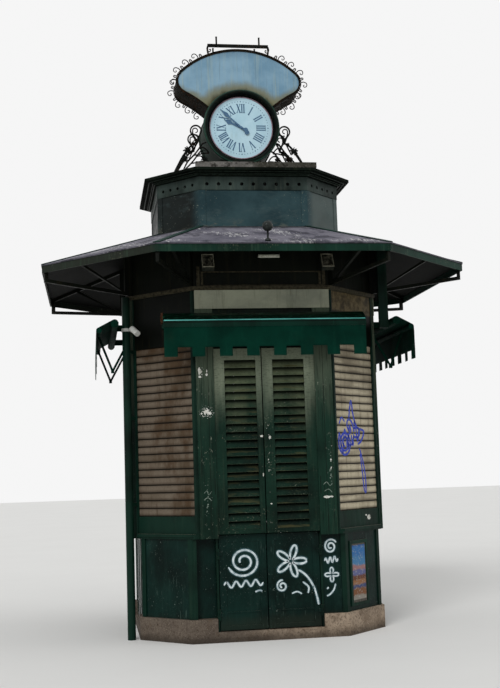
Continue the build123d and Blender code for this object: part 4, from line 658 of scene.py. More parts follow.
# Mesh helpers: x along a side, out from its plane, z up, all in millimetres
def on_side(i, distance):
    """Turns (x, out, z) in millimetres on side i into a point of the frame."""
    turn = Matrix.Rotation(math.radians(45 * i), 4, "Z")

    def point(x, out, z):
        return turn @ Vector((x * MM, -(distance + out) * MM, z * MM))
    return point


def finish_piece(name, bm, material, body="kiosk", smooth=False):
    data = bpy.data.meshes.new(name)
    bmesh.ops.recalc_face_normals(bm, faces=bm.faces)
    bm.to_mesh(data)
    bm.free()
    data.materials.append(mats[material])
    if smooth:
        data.polygons.foreach_set("use_smooth", [True] * len(data.polygons))
    piece = bpy.data.objects.new(name, data)
    bpy.context.scene.collection.objects.link(piece)
    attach(piece, body)
    return piece


def add_box(bm, at, x0, x1, o0, o1, z0, z1, soft=0.0):
    """Box with a small bevel."""
    made = bmesh.ops.create_cube(bm, size=1)
    verts = made["verts"]
    for v in verts:
        v.co = at(x0 if v.co.x < 0 else x1, o0 if v.co.y < 0 else o1, z0 if v.co.z < 0 else z1)
    if soft:
        edges = list({e for v in verts for e in v.link_edges})
        bmesh.ops.bevel(bm, geom=edges, offset=soft * MM, segments=2, affect="EDGES", profile=0.5)


def box_piece(name, at, material, *boxes):
    """Piece of boxes, each given by its limits and perhaps its bevel."""
    bm = bmesh.new()
    for box in boxes:
        add_box(bm, at, *box)
    finish_piece(name, bm, material)


def skin(bm, rings, closed=False):
    """Faces between rings of as many points, capped at both ends unless the rings close on themselves."""
    count = len(rings[0])
    for a, b in zip(rings, rings[1:] + (rings[:1] if closed else [])):
        for s in range(count):
            n = (s + 1) % count
            bm.faces.new((a[s], a[n], b[n], b[s]))
    if not closed:
        bm.faces.new(rings[0][::-1])
        bm.faces.new(rings[-1])


def round_ring(bm, centre, r, u, v, sides):
    turns = (2 * math.pi * s / sides for s in range(sides))
    return [bm.verts.new(centre + r * MM * (math.cos(t) * u + math.sin(t) * v)) for t in turns]


def add_tube(bm, points, radius, sides, closed=False):
    """Round bar along points of the frame."""
    count = len(points)
    rings = []
    normal = None
    for k, p in enumerate(points):
        a = points[(k - 1) % count] if closed or k else points[k]
        b = points[(k + 1) % count] if closed or k < count - 1 else points[k]
        way = (b - a).normalized()
        if normal is None:
            other = Vector((0, 0, 1)) if abs(way.z) < 0.9 else Vector((1, 0, 0))
            normal = way.cross(other).normalized()
        normal = (normal - way * normal.dot(way)).normalized()
        across = way.cross(normal)
        rings.append(round_ring(bm, p, radius, normal, across, sides))
    skin(bm, rings, closed)


def add_turned(bm, centre, axis, profile, sides):
    """Body of revolution: profile is (radius, along) pairs in millimetres."""
    axis = axis.normalized()
    other = Vector((0, 0, 1)) if abs(axis.z) < 0.9 else Vector((1, 0, 0))
    u = axis.cross(other).normalized()
    v = axis.cross(u)
    skin(bm, [round_ring(bm, centre + axis * along * MM, r, u, v, sides) for r, along in profile])


def smooth_path(points, steps=10):
    """Catmull-Rom line through (x, z) points."""
    path = []
    line = [points[0], *points, points[-1]]
    for k in range(1, len(line) - 2):
        p0, p1, p2, p3 = (Vector(q) for q in line[k - 1:k + 3])
        for s in range(steps):
            t = s / steps
            path.append(0.5 * (
                2 * p1 + (p2 - p0) * t + (2 * p0 - 5 * p1 + 4 * p2 - p3) * t * t
                + (3 * p1 - p0 - 3 * p2 + p3) * t ** 3
            ))
    path.append(Vector(points[-1]))
    return path


def add_stroke(bm, at, points, wide, lift, steps=10, seed=1, thick=0.8):
    """Sprayed line on a wall: lift gives how far out the wall's face is at (x, z)."""
    rand = random.Random(seed)
    path = smooth_path(points, steps)
    rows = []
    for k, p in enumerate(path):
        a, b = path[max(k - 1, 0)], path[min(k + 1, len(path) - 1)]
        way = (b - a).normalized() if (b - a).length > 1e-6 else Vector((1, 0))
        across = Vector((-way.y, way.x))
        end = min(k, len(path) - 1 - k)
        half = wide / 2 * min(1, 0.45 + 0.28 * end) * rand.uniform(0.9, 1.1)
        rows.append([p + across * half * share for share in (-1, -0.5, 0, 0.5, 1)])
    front, back = (
        [[bm.verts.new(at(q.x, lift(q.x, q.y) + out, q.y)) for q in row] for row in rows]
        for out in (thick, 0.1)
    )
    for grid in (front, back):
        for a, b in zip(grid, grid[1:]):
            for s in range(4):
                bm.faces.new((a[s], a[s + 1], b[s + 1], b[s]))
    for (fa, fb), (ba, bb) in zip(zip(front, front[1:]), zip(back, back[1:])):
        for s in (0, 4):
            bm.faces.new((fa[s], fb[s], bb[s], ba[s]))
    for f, b in ((front[0], back[0]), (front[-1], back[-1])):
        for s in range(4):
            bm.faces.new((f[s], f[s + 1], b[s + 1], b[s]))


def add_blob(bm, at, x, z, rx, rz, out, seed, thick=1.0, count=28):
    """Irregular splash of paint with a few runs."""
    rand = random.Random(seed)
    rim = []
    for k in range(count):
        t = 2 * math.pi * k / count
        r = rand.uniform(0.62, 1.05)
        rim.append((x + rx * r * math.cos(t), z + rz * r * math.sin(t)))
    top = bm.verts.new(at(x, out + thick, z))
    low = bm.verts.new(at(x, out + 0.1, z))
    front = [bm.verts.new(at(a, out + thick * 0.6, b)) for a, b in rim]
    back = [bm.verts.new(at(a, out + 0.1, b)) for a, b in rim]
    for k in range(count):
        n = (k + 1) % count
        bm.faces.new((top, front[k], front[n]))
        bm.faces.new((low, back[n], back[k]))
        bm.faces.new((front[k], back[k], back[n], front[n]))


def add_speckle(bm, at, x, z, rx, rz, out, count, seed):
    """Cloud of small specks, densest in the middle."""
    rand = random.Random(seed)
    for k in range(count):
        share, turn = rand.random() ** 0.8, rand.uniform(0, 2 * math.pi)
        size = rand.uniform(2.2, 7.5) * (1.25 - share)
        add_blob(
            bm, at, x + rx * share * math.cos(turn), z + rz * share * math.sin(turn),
            size * rand.uniform(0.7, 1.3), size, out, seed + k, 0.7, 9,
        )


# Awning cloths, and the tube and bar that carry the side ones
CLOTH_HALF = 930.0
CLOTH_FOOT = 2553.0
NOTCH_TOP = 2638.0
NOTCH_WIDE = 131.0
NOTCHES = [k * 247.7 for k in range(-3, 4)]
VALANCE_OUT = 192.5
VALANCE_TOP = 2821
TUBE, TUBE_R = Vector((155, 2925)), 38
BAR, BAR_R = Vector((300, 2862)), 26
CLOTH_LIFT = 1.5
FLAP_OUT = 329
FLAP_TOP = 2850


def cloth_columns():
    """Columns across the cloth, with one on each side of every notch."""
    cuts = [-CLOTH_HALF, *(x + side * NOTCH_WIDE / 2 for x in NOTCHES for side in (-1, 1)), CLOTH_HALF]
    columns = []
    for a, b in zip(cuts, cuts[1:]):
        steps = max(2, round((b - a) / 14))
        columns += [a + (b - a) * s / steps for s in range(steps)]
    return columns + [CLOTH_HALF]


def hung_cloth(name, i, path, drop_from, replaced, seed):
    """Awning cloth along path, a list of (out, z), with a notched lower edge and soft waves."""
    at = on_side(i, WALL)
    rand = random.Random(seed)
    phases = [rand.uniform(0, 6.28) for _ in range(4)]
    columns = cloth_columns()
    bm = bmesh.new()

    def wave(s, z):
        depth = max(0.0, min(1.0, (drop_from - z) / 240))
        ripple = math.sin(s / 61 + phases[0]) * 2.6 + math.sin(s / 143 + phases[1]) * 3.4
        ripple += math.sin(s / 27 + z / 60 + phases[2]) * 0.9
        return ripple * depth

    rows = []
    for out, z in path:
        rows.append([bm.verts.new(at(s, out + wave(s, z), z)) for s in columns])
    for a, b in zip(rows, rows[1:]):
        upper = a[0].co.z / MM
        lower = b[0].co.z / MM
        for k in range(len(columns) - 1):
            middle = (columns[k] + columns[k + 1]) / 2
            notched = any(abs(middle - x) < NOTCH_WIDE / 2 for x in NOTCHES)
            if lower < NOTCH_TOP - 1 and upper < NOTCH_TOP + 1 and notched:
                continue
            bm.faces.new((a[k], a[k + 1], b[k + 1], b[k]))
    loose = [v for v in bm.verts if not v.link_faces]
    bmesh.ops.delete(bm, geom=loose, context="VERTS")
    piece = finish_piece(name, bm, "cloth", smooth=True)
    thick = piece.modifiers.new("cloth_thickness", "SOLIDIFY")
    thick.thickness = 1.6 * MM
    thick.offset = 0
    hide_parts(*replaced)


def drop_rows(out, top):
    """Rows straight down from top, past the upper edge of the notches."""
    below = top - 12
    rows = [(out, top), (out, below)]
    rows += [(out, below + (NOTCH_TOP - below) * k / 8) for k in range(1, 9)]
    return rows + [(out, NOTCH_TOP + (CLOTH_FOOT - NOTCH_TOP) * k / 5) for k in range(1, 6)]


def side_cloth_path():
    """Over the roller tube, down to the front bar, round it and straight down."""
    def bend(middle, r, turns):
        return [middle + Vector((math.cos(t), math.sin(t))) * (r + CLOTH_LIFT) for t in turns]

    run = BAR - TUBE
    upright = math.atan2(run.y, run.x) + math.asin((TUBE_R - BAR_R) / run.length) + math.pi / 2
    normal = Vector((math.cos(upright), math.sin(upright)))
    top = math.atan2(normal.y, normal.x)
    start, end = TUBE + normal * (TUBE_R + CLOTH_LIFT), BAR + normal * (BAR_R + CLOTH_LIFT)
    path = bend(TUBE, TUBE_R, [top + math.radians(60) * (1 - k / 4) for k in range(4)])
    path += [start] + [start.lerp(end, k / 8) for k in range(1, 9)]
    path += bend(BAR, BAR_R, [top * (1 - k / 4) for k in range(1, 5)])
    out = path[-1].x
    flap = [(out + (FLAP_OUT - out) * min(1, k / 2), z) for k, (_, z) in enumerate(drop_rows(0, FLAP_TOP))]
    return [tuple(p) for p in path] + flap


hung_cloth(
    "front_valance_cloth", 0, drop_rows(VALANCE_OUT, VALANCE_TOP), VALANCE_TOP, ("awning_valance",), 3,
)
for i, word, seed in ((2, "right", 5), (6, "left", 8)):
    hung_cloth(
        f"side_awning_cloth_{word}", i, side_cloth_path(), 2862,
        ("side_awning_cloths", "side_awning_valances"), seed,
    )


# Dials: hour numerals and minute dots
NUMERALS = ("XII", "I", "II", "III", "IIII", "V", "VI", "VII", "VIII", "IX", "X", "XI")
NUMERAL_LOW, NUMERAL_HIGH = 162.0, 254.0
DIAL_FACE = 221.5
MARK_THICK = 0.7


def add_flat(bm, point, outline):
    """Thin plate on the dial from its (x, y) outline."""
    front, back = ([bm.verts.new(point(x, y, out)) for x, y in outline] for out in (MARK_THICK, 0.0))
    bm.faces.new(front)
    bm.faces.new(back[::-1])
    for k in range(len(front)):
        n = (k + 1) % len(front)
        bm.faces.new((front[k], back[k], back[n], front[n]))


def add_bar(bm, point, a, b, wide):
    """Flat bar on the dial between two (x, y) points."""
    a, b = Vector(a), Vector(b)
    way = (b - a).normalized()
    half = Vector((-way.y, way.x)) * wide / 2
    add_flat(bm, point, (a - half, a + half, b + half, b - half))


def numeral_bars(text):
    """Strokes of a numeral in a frame of its own: x across, y up from 0 to 1, widths in millimetres."""
    strokes, x = [], 0.0
    thick, thin = 12.0, 5.0
    for letter in text:
        if letter == "I":
            strokes.append(((x + 7, 0), (x + 7, 1), thick))
            strokes.append(((x - 2, 0), (x + 16, 0), thin))
            strokes.append(((x - 2, 1), (x + 16, 1), thin))
            x += 22
        elif letter == "V":
            strokes.append(((x + 5, 1), (x + 22, 0), thick))
            strokes.append(((x + 40, 1), (x + 23, 0), thin))
            strokes.append(((x - 3, 1), (x + 14, 1), thin))
            strokes.append(((x + 32, 1), (x + 47, 1), thin))
            x += 50
        else:
            strokes.append(((x + 5, 1), (x + 38, 0), thick))
            strokes.append(((x + 37, 1), (x + 5, 0), thin))
            for low in (0, 1):
                strokes.append(((x - 3, low), (x + 14, low), thin))
                strokes.append(((x + 28, low), (x + 45, low), thin))
            x += 49
    return strokes, x - 6


def dial_point(sign):
    """Point on the front dial (sign -1) or the rear one: x to the reader's right, y up, out from the face."""
    def point(x, y, out):
        return Vector((-sign * x * MM, sign * (DIAL_FACE + out) * MM, (CLOCK_Z + y) * MM))
    return point


def dial_marks(sign, name):
    point = dial_point(sign)
    bm = bmesh.new()
    for hour, text in enumerate(NUMERALS):
        turn = -math.radians(30 * hour)
        c, s = math.cos(turn), math.sin(turn)
        strokes, width = numeral_bars(text)
        squeeze = min(1.0, 92 / width)
        for (x0, y0), (x1, y1), wide in strokes:
            ends = []
            for x, y in ((x0, y0), (x1, y1)):
                x = (x - width / 2) * squeeze
                y = NUMERAL_LOW + (NUMERAL_HIGH - NUMERAL_LOW) * y
                ends.append((x * c - y * s, x * s + y * c))
            add_bar(bm, point, *ends, wide)
    for minute in range(60):
        turn = -math.radians(6 * minute)
        r, size = 281, 4.2 if minute % 5 else 6.5
        x, y = -r * math.sin(turn), r * math.cos(turn)
        turns = (2 * math.pi * k / 10 for k in range(10))
        add_flat(bm, point, [(x + size * math.cos(t), y + size * math.sin(t)) for t in turns])
    finish_piece(name, bm, "ink")


dial_marks(-1, "dial_marks_front")
dial_marks(1, "dial_marks_back")


def ring_piece(name, sign, profile, material, sides):
    """Ring round the clock's axis from (radius, out) corners."""
    point = dial_point(sign)
    bm = bmesh.new()
    loops = []
    for k in range(sides):
        t = 2 * math.pi * k / sides
        loops.append([bm.verts.new(point(r * math.cos(t), r * math.sin(t), out)) for r, out in profile])
    skin(bm, loops, closed=True)
    return finish_piece(name, bm, material, smooth=True)


# Ironwork, rings and ball drawn finer than their solids, along the same lines
def clock_at(mirror, face=1, depth=0):
    """Turns (x, out, z) from the clock's axis into a point of the frame."""
    base = on_side(0, 0)
    return lambda x, out, z: base(mirror * x, depth + face * out, CLOCK_Z + z)


def add_strap(bm, at, path, wide, out0, out1, soft, end_wide=None):
    """Forged bar with softened edges along (x, z) points, narrower at its far end if asked."""
    path = [Vector(q) for q in path]
    last = len(path) - 1
    rings = []
    for k, q in enumerate(path):
        a, b = path[max(k - 1, 0)], path[min(k + 1, last)]
        way = (b - a).normalized()
        across = Vector((-way.y, way.x))
        half = wide / 2 if end_wide is None else (wide + (end_wide - wide) * k / last) / 2
        c = min(soft, half * 0.6)
        section = (
            (-half + c, out1), (half - c, out1), (half, out1 - c), (half, out0 + c),
            (half - c, out0), (-half + c, out0), (-half, out0 + c), (-half, out1 - c),
        )
        places = ((q + across * u, out) for u, out in section)
        rings.append([bm.verts.new(at(p.x, out, p.y)) for p, out in places])
    skin(bm, rings)


def arc_line(centre, r, start, end, count):
    turns = [math.radians(start + (end - start) * k / count) for k in range(count + 1)]
    return [Vector((centre[0] + r * math.cos(t), centre[1] + r * math.sin(t))) for t in turns]


def add_knot(bm, at, centre, r, out0, out1, seed):
    """Rosette of leaves round a boss, on both faces of the bracket."""
    rand = random.Random(seed)
    middle = (out0 + out1) / 2
    for k in range(9):
        t = 2 * math.pi * k / 9 + rand.uniform(-0.15, 0.15)
        reach = r * rand.uniform(0.86, 1.08)
        way = Vector((math.cos(t), math.sin(t)))
        bend = Vector((-way.y, way.x)) * r * 0.14
        line = [centre + way * r * 0.1, centre + way * reach * 0.5 + bend, centre + way * reach]
        add_strap(bm, at, smooth_path(line, 4), r * 0.42, out0 - 5, out1 + 5, 4, r * 0.16)
    for face in (out0 - 5, out1 + 5):
        sign = 1 if face > middle else -1
        axis = at(centre.x, middle + sign * 10, centre.y) - at(centre.x, middle, centre.y)
        add_turned(
            bm, at(centre.x, face, centre.y), axis,
            ((r * 0.34, -3), (r * 0.34, 1), (r * 0.26, 5), (r * 0.12, 8)), 14,
        )


def scroll_pieces():
    """Scroll brackets beside the drum, before and behind."""
    out0, out1 = -8.5, 8.5
    low = PLATFORM_TOP - CLOCK_Z
    straps = (
        (((558, -223), (606, -291), (650, -369), (688, low + 50), (708, low + 8)), 27, 22),
        ((
            (399, -149), (424, -183), (468, -244), (511, -292), (561, -347), (600, low + 70), (620, low + 8),
        ), 16, 15),
        (((464, -142), (482, -155), (511, -219), (530, -260)), 15, 9),
        (((470, -140), (504, -160), (536, -192), (558, -223)), 18, 20),
        (((337, -251), (362, -215), (393, -193), (430, -198), (450, -218)), 14, 11),
        (((337, -251), (387, -252), (430, -263), (497, -277)), 14, 11),
        (((399, -149), (364, -136.5)), 15, 15),
        (((385, low + 2), (385, -330)), 14, 12),
    )
    hoop = [(464, -142), (444, -84), *arc_line((466, -13), 56, 215, -35, 22), (486, -84), (464, -142)]
    inner = [(466, -120), (472, -92), (492, -62), (500, -30), *arc_line((474, -12), 26, -20, 200, 10)]
    inner += [(456, -28), (470, -34)]
    curl = [(470, -118), (452, -98), (446, -74), (456, -58), (470, -62)]
    knots = (((558, -223), 44, 0), ((385, -321), 34, 7), ((500, -147), 15, 13))
    bm = bmesh.new()
    for seed, (depth, mirror) in enumerate(((150, 1), (150, -1), (-150, 1), (-150, -1))):
        at = clock_at(mirror, 1, depth)
        for points, wide, end_wide in straps:
            line = smooth_path(points, 8) if len(points) > 2 else points
            add_strap(bm, at, line, wide, out0, out1, 3, end_wide)
        add_strap(bm, at, hoop, 15, out0, out1, 3)
        add_strap(bm, at, smooth_path(inner, 3), 13, out0 + 1, out1 - 1, 3, 9)
        add_strap(bm, at, smooth_path(curl, 5), 12, out0 + 1, out1 - 1, 3, 8)
        add_strap(bm, at, [(456, -142), (500, -146)], 15, out0 - 3, out1 + 3, 5)
        for centre, r, more in knots:
            add_knot(bm, at, Vector(centre), r, out0, out1, seed + more)
        add_box(bm, at, 597, 737, out0 - 3, out1 + 3, low + 0.3, low + 12, 2)
    piece = finish_piece("scrolled_brackets", bm, "iron")
    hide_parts("scroll_brackets")


SIGN_HALF, SIGN_RISE, TIP_R, TIP_RISE = 658.0, 866.0, 140.0, 517.0


def sign_line(top_steps=24, tip_steps=18, flank_steps=14):
    """Right half of the light box's edge from its top down to the drum, heights from the clock's axis."""
    tip = (SIGN_HALF - TIP_R, TIP_RISE)
    rise = SIGN_RISE - TIP_RISE
    top_r = (tip[0] ** 2 + rise ** 2 - TIP_R ** 2) / (2 * (rise - TIP_R))
    middle = (0, SIGN_RISE - top_r)
    meet = math.degrees(math.atan2(tip[1] - middle[1], tip[0]))
    line = arc_line(middle, top_r, 90, meet, top_steps)[:-1] + arc_line(tip, TIP_R, meet, -63, tip_steps)
    start, turn, seat = line[-1], math.radians(-63), math.radians(33.4)
    pull = start + 150 * Vector((math.sin(turn), -math.cos(turn)))
    foot = Vector((386.3 * math.cos(seat), 386.3 * math.sin(seat)))
    for k in range(1, flank_steps + 1):
        t = k / flank_steps
        line.append((1 - t) ** 2 * start + 2 * t * (1 - t) * pull + t * t * foot)
    return line


def moved_out(line, lift):
    """Points of a line moved outwards by a distance."""
    moved = []
    for k, q in enumerate(line):
        way = (line[min(k + 1, len(line) - 1)] - line[max(k - 1, 0)]).normalized()
        moved.append(q + Vector((-way.y, way.x)) * lift)
    return moved


def fringe_pieces():
    """Scrolls round the light box, tall hooded ones and low curls in turn, before and behind."""
    line = sign_line()
    coarse = sign_line(8, 6, 4)
    bm = bmesh.new()
    hood = (
        (-0.36, 0), (-0.44, 0.42), (-0.26, 0.86), (0.06, 0.97), (0.36, 0.78),
        (0.38, 0.5), (0.16, 0.38), (0.06, 0.56),
    )
    curl = ((-0.2, 0), (-0.34, 0.4), (-0.14, 0.92), (0.24, 0.88), (0.3, 0.56), (0.06, 0.5))
    spots = []
    gone, next_at, k = 0.0, 0.0, 0
    for a, b in zip(coarse, coarse[1:]):
        way = (b - a).normalized()
        out = Vector((-way.y, way.x))
        while next_at <= gone + (b - a).length:
            place = a + way * (next_at - gone) + out * 3.3
            tall = 66.0 if k % 2 == 0 else 33.0
            if place.x > 321 + 33 and (place + out * tall).length >= 398 + 66:
                spots.append((place, way, out, hood if k % 2 == 0 else curl, tall))
            next_at += 58
            k += 1
        gone += (b - a).length
    for face in (1, -1):
        for mirror in (1, -1):
            at = clock_at(mirror, face)
            edge = [q for q in moved_out(line, 3.3) if q.length > 402]
            add_strap(bm, at, edge, 6.4, 164.2, 170, 1)
            for place, way, out, shape, tall in spots:
                points = [place + way * (u * tall) + out * (v * tall) for u, v in shape]
                add_strap(bm, at, smooth_path(points, 5), 10, 164.2, 169.8, 1.5, 7.5)
                if shape is curl:
                    points = [place - way * (u * tall) + out * (v * tall) for u, v in shape]
                    add_strap(bm, at, smooth_path(points, 5), 8.5, 164.4, 169.6, 1.5, 6.5)
    piece = finish_piece("curled_fringe", bm, "iron")
    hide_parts("sign_fringe")


def crown_curls():
    """Volutes under the ends of the two crown bars."""
    bm = bmesh.new()
    z0 = SIGN_RISE + 26
    curl = (
        (318, z0 + 8), (328, z0 - 16), (322, z0 - 46), (302, z0 - 54),
        (288, z0 - 40), (294, z0 - 26), (304, z0 - 34),
    )
    for face in (1, -1):
        for mirror in (1, -1):
            at = clock_at(mirror, face)
            add_strap(bm, at, smooth_path(curl, 6), 11, 156, 168, 3, 8)
            knob = ((7.5, -6), (10.5, -3), (10.5, 1), (6, 4))
            add_turned(bm, at(226, 158, z0 + 109), Vector((0, 0, 1)), knob, 12)
    finish_piece("crown_volutes", bm, "iron")


def clock_rings():
    profile = (
        (333.6, -6.0), (397.5, -6.0), (397.5, 28), (396, 39), (391.5, 49), (385, 57), (378, 62),
        (371.5, 63.4), (365, 62), (360, 57.5), (356.5, 49), (352, 34), (344.5, 15), (339, 5), (333.6, 1.6),
    )
    for sign, word in ((-1, "front"), (1, "back")):
        rings = ring_piece(f"clock_bezel_{word}", sign, profile, "bezel", 112)
        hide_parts("clock_bezels")
        # Thin ring in a pale green: a painted highlight on the bezel's outer edge.
        ring_piece(
            f"bezel_highlight_ring_{word}", sign,
            ((388.5, 53.6), (391.5, 50), (393.6, 47.2), (394.6, 48.6), (390, 56)),
            "bezel_painted_highlight", 112,
        )
        ring_piece(
            f"dial_lip_{word}", sign,
            ((322, 0.1), (322, 3), (325, 5), (330, 5), (332.4, 3), (332.4, 0.1)),
            "pink_rim", 96,
        )
    bm = bmesh.new()
    add_turned(
        bm, Vector((0, 0, CLOCK_Z * MM)), Vector((0, 1, 0)),
        ((300, -214.8), (384.5, -214.8), (384.8, -200), (384.8, 200), (384.5, 214.8), (300, 214.8)), 96,
    )
    piece = finish_piece("clock_drum_skin", bm, "bezel", smooth=True)
    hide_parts("clock_drum")


def roof_ball():
    bm = bmesh.new()
    profile = [(26, -6), (26, 14), (22, 19), (11, 25), (9, 32), (9, 88)]
    turns = (math.radians(-76 + 10 * k) for k in range(17))
    profile += [(47 * math.cos(t), 132.3 + 47 * math.sin(t)) for t in turns]
    add_turned(bm, Vector((-50 * MM, -1956 * MM, 3487.8 * MM)), Vector((0, 0, 1)), profile, 28)
    piece = finish_piece("roof_ball_skin", bm, "ball", smooth=True)
    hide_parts("roof_ball")


scroll_pieces()
fringe_pieces()
crown_curls()
clock_rings()
roof_ball()


# Generic spray marks, none of them a letter
def flat_lift(depth):
    return lambda x, z: depth


door_at = on_side(0, BASE_WALL)


def leaf_lift(x, z):
    """Face of the door leaves: 2 mm in from the wall's plane, 8 mm in the sunk fields."""
    field = 44 < x < 400 or -400 < x < -94
    return -8 if field and (266 < z < 881 or 144 < z < 248) else -2


def spiral(x, z, far, near, turns, start, flat=1.0, count=30):
    points = []
    for k in range(count):
        share = k / (count - 1)
        t = math.radians(start) + 2 * math.pi * turns * share
        r = far + (near - far) * share
        points.append((x + r * math.cos(t), z + flat * r * math.sin(t)))
    return points


def rosette(x, z, r, swing, petals):
    points = []
    for k in range(16 * petals + 1):
        t = 2 * math.pi * k / (16 * petals)
        reach = r + swing * math.cos(petals * t)
        points.append((x + reach * math.cos(t), z + reach * math.sin(t)))
    return points


def wave(x0, x1, z, tall, humps, lean=0.0):
    count = 6 * humps
    return [
        (x0 + (x1 - x0) * k / count, z + lean * k / count + tall * math.sin(2 * math.pi * humps * k / count))
        for k in range(count + 1)
    ]


def spray(name, at, body, marks, lift, haze=2.0, main="spray_white", seed=11):
    """Each mark as a firm line over a wider, thinner mist."""
    line, mist = bmesh.new(), bmesh.new()
    for k, (points, wide) in enumerate(marks):
        steps = 3 if len(points) > 12 else 10
        add_stroke(line, at, points, wide, lift, steps, k + seed, 1.1)
        add_stroke(mist, at, points, wide * haze, lift, steps, k + seed + 5, 0.5)
    finish_piece(name, line, main, body)
    finish_piece(name + "_mist", mist, "spray_haze", body)


def door_marks():
    left = (
        (spiral(-238, 706, 150, 34, 2.0, 200, 0.92), 18),
        (wave(-424, -66, 500, 26, 4, 14), 16),
        ([(-140, 430), (-104, 442), (-76, 436)], 13),
    )
    spray("spray_door_left", door_at, "door_left", left, leaf_lift)
    right = (
        (rosette(196, 690, 84, 62, 5), 18),
        ([(262, 610), (330, 560), (392, 470), (424, 372), (440, 290)], 17),
        ([(300, 500), (352, 452), (346, 396)], 14),
        (spiral(110, 470, 54, 12, 1.5, 80), 15),
        ([(196, 400), (246, 414), (290, 392)], 12),
    )
    spray("spray_door_right", door_at, "door_right", right, leaf_lift, seed=31)


def wall_marks():
    marks = (
        (spiral(572, 806, 62, 10, 1.8, 30, 1.1), 15),
        (wave(512, 636, 676, 24, 3, 20), 14),
        (rosette(574, 552, 40, 24, 4), 13),
        ([(606, 470), (590, 420), (556, 380), (520, 362)], 13),
        ([(540, 440), (524, 424)], 12),
    )
    spray("spray_side_panel", door_at, "kiosk", marks, flat_lift(-12), seed=51)


def slat_lift(x, z):
    """How far out the roller curtain's face is at a height, from the face plane inwards."""
    t = (z - ROLLER_FOOT) % SLAT_PITCH
    return -20 + 5 * min(1, t / 9, (SLAT_PITCH - t) / 9)


def roller_marks():
    """Blue scribble of crossing loops and a long drop."""
    at = on_side(1, OBLIQUE_WALL)
    bm = bmesh.new()
    marks = (
        (spiral(-196, 1752, 112, 30, 2.3, 160, 1.1), 22),
        (wave(-310, 60, 1730, 104, 4, 150), 20),
        (rosette(-60, 1850, 92, 44, 3), 21),
        ([(-110, 1990), (-62, 2150), (-30, 2010), (34, 1900), (150, 1862), (96, 1770), (30, 1740)], 22),
        ([(60, 1700), (120, 1560), (150, 1400), (144, 1280), (112, 1330), (96, 1480), (70, 1650)], 18),
        ([(-286, 1930), (-240, 1990), (-190, 1950)], 16),
    )
    for k, (points, wide) in enumerate(marks):
        add_stroke(bm, at, points, wide, slat_lift, 6 if len(points) > 12 else 26, k + 41)
    finish_piece("spray_roller", bm, "spray_blue")


def small_marks():
    """Thin scratched or penned lines on the stiles and pale splashes of paint."""
    at = on_side(0, WALL)
    bm = bmesh.new()
    lines = (
        ([(-588, 1330), (-560, 1352), (-548, 1316), (-520, 1344)], 5),
        ([(-592, 1268), (-556, 1290), (-520, 1262)], 5),
        ([(512, 1372), (544, 1396), (572, 1362), (596, 1384)], 5),
        ([(518, 1312), (560, 1330), (590, 1300)], 5),
    )
    for k, (points, wide) in enumerate(lines):
        add_stroke(bm, at, points, wide, flat_lift(8), 8, k + 51, 0.5)
    for x, z, rx, rz, count in ((-560, 1240, 50, 260, 26), (585, 1450, 34, 380, 26)):
        add_speckle(bm, at, x, z, rx, rz, 8, count, 401 + round(x))
    finish_piece("stile_scratches", bm, "spray_faint")
    bm = bmesh.new()
    blobs = (
        (-604, 2440, 12, 42), (-600, 2386, 15, 12), (-536, 2406, 12, 14), (-534, 2436, 5, 18),
        (-556, 2064, 22, 16), (-520, 2052, 24, 14), (-592, 2050, 10, 9), (540, 1259, 34, 15),
        (584, 1262, 20, 8),
    )
    for k, (x, z, rx, rz) in enumerate(blobs):
        add_blob(bm, at, x, z, rx, rz, 8, k + 61)
    for x, z, rx, rz, count in ((-545, 2060, 72, 62, 120), (-590, 2430, 30, 60, 26), (590, 1600, 30, 300, 8)):
        add_speckle(bm, at, x, z, rx, rz, 8, count, 301 + count)
    finish_piece("paint_splashes", bm, "splash")
    bm = bmesh.new()
    for x, z, rx, rz in ((-30, 1832, 16, 12), (12, 1820, 12, 20), (6, 1216, 10, 8), (-26, 1480, 6, 20)):
        add_blob(bm, at, x + (20 if x > -25 else -14), z, rx, rz, -5, int(abs(x)) + 81)
    add_speckle(bm, at, 14, 1600, 18, 560, -5, 16, 77)
    finish_piece("leaf_splashes", bm, "splash")
    bm = bmesh.new()
    sill = on_side(1, OBLIQUE_WALL)
    add_blob(bm, sill, 169, 1044, 34, 26, -8, 91)
    add_blob(bm, sill, 120, 1066, 18, 9, -8, 92)
    finish_piece("sill_splash", bm, "splash")
    box_piece("stile_slots", at, "black", *((x0, x1, 8.05, 8.6, z0, z1) for x0, x1, z0, z1 in (
        (-489, -484, 1316, 1462), (484, 489, 1292, 1450), (-527, -524, 960, 2700), (545, 548, 960, 2700),
        (-604, -602, 1500, 2700), (604, 606, 1000, 2300),
    )))


door_marks()
wall_marks()
roller_marks()
small_marks()


# Trim: painted highlight strip and fixing of the awning case, rolls of the lantern's cornice, frame of the
# frieze's field
def awning_trim():
    at = on_side(0, WALL)
    bm = bmesh.new()
    # Painted highlight: a pale teal strip along the front edge of the case.
    lean = ((188.2, 2879.5), (183.2, 2889.5), (184.6, 2890.2), (189.6, 2880.2))
    skin(bm, [[bm.verts.new(at(x, out, z)) for out, z in lean] for x in (-928, 928)])
    finish_piece("awning_highlight_strip", bm, "awning_painted_highlight")
    box_piece("awning_groove", at, "black", (-929, 929, 195.1, 196.0, 2862, 2868))
    box_piece(
        "awning_fixing", at, "orange",
        (-946, -932, 60, 130, 2868, 2962, 3), (-952, -946, 84, 104, 2888, 2944, 2),
    )


def lantern_corner(i, out, z):
    """Corner at the end of a side of the lantern, moved outwards."""
    half, distance = LANTERN
    if i % 2:
        half, distance = (distance - half) / math.sqrt(2), (distance + half) / math.sqrt(2)
    return on_side(i, distance)(half + out * math.tan(math.radians(22.5)), out, z)


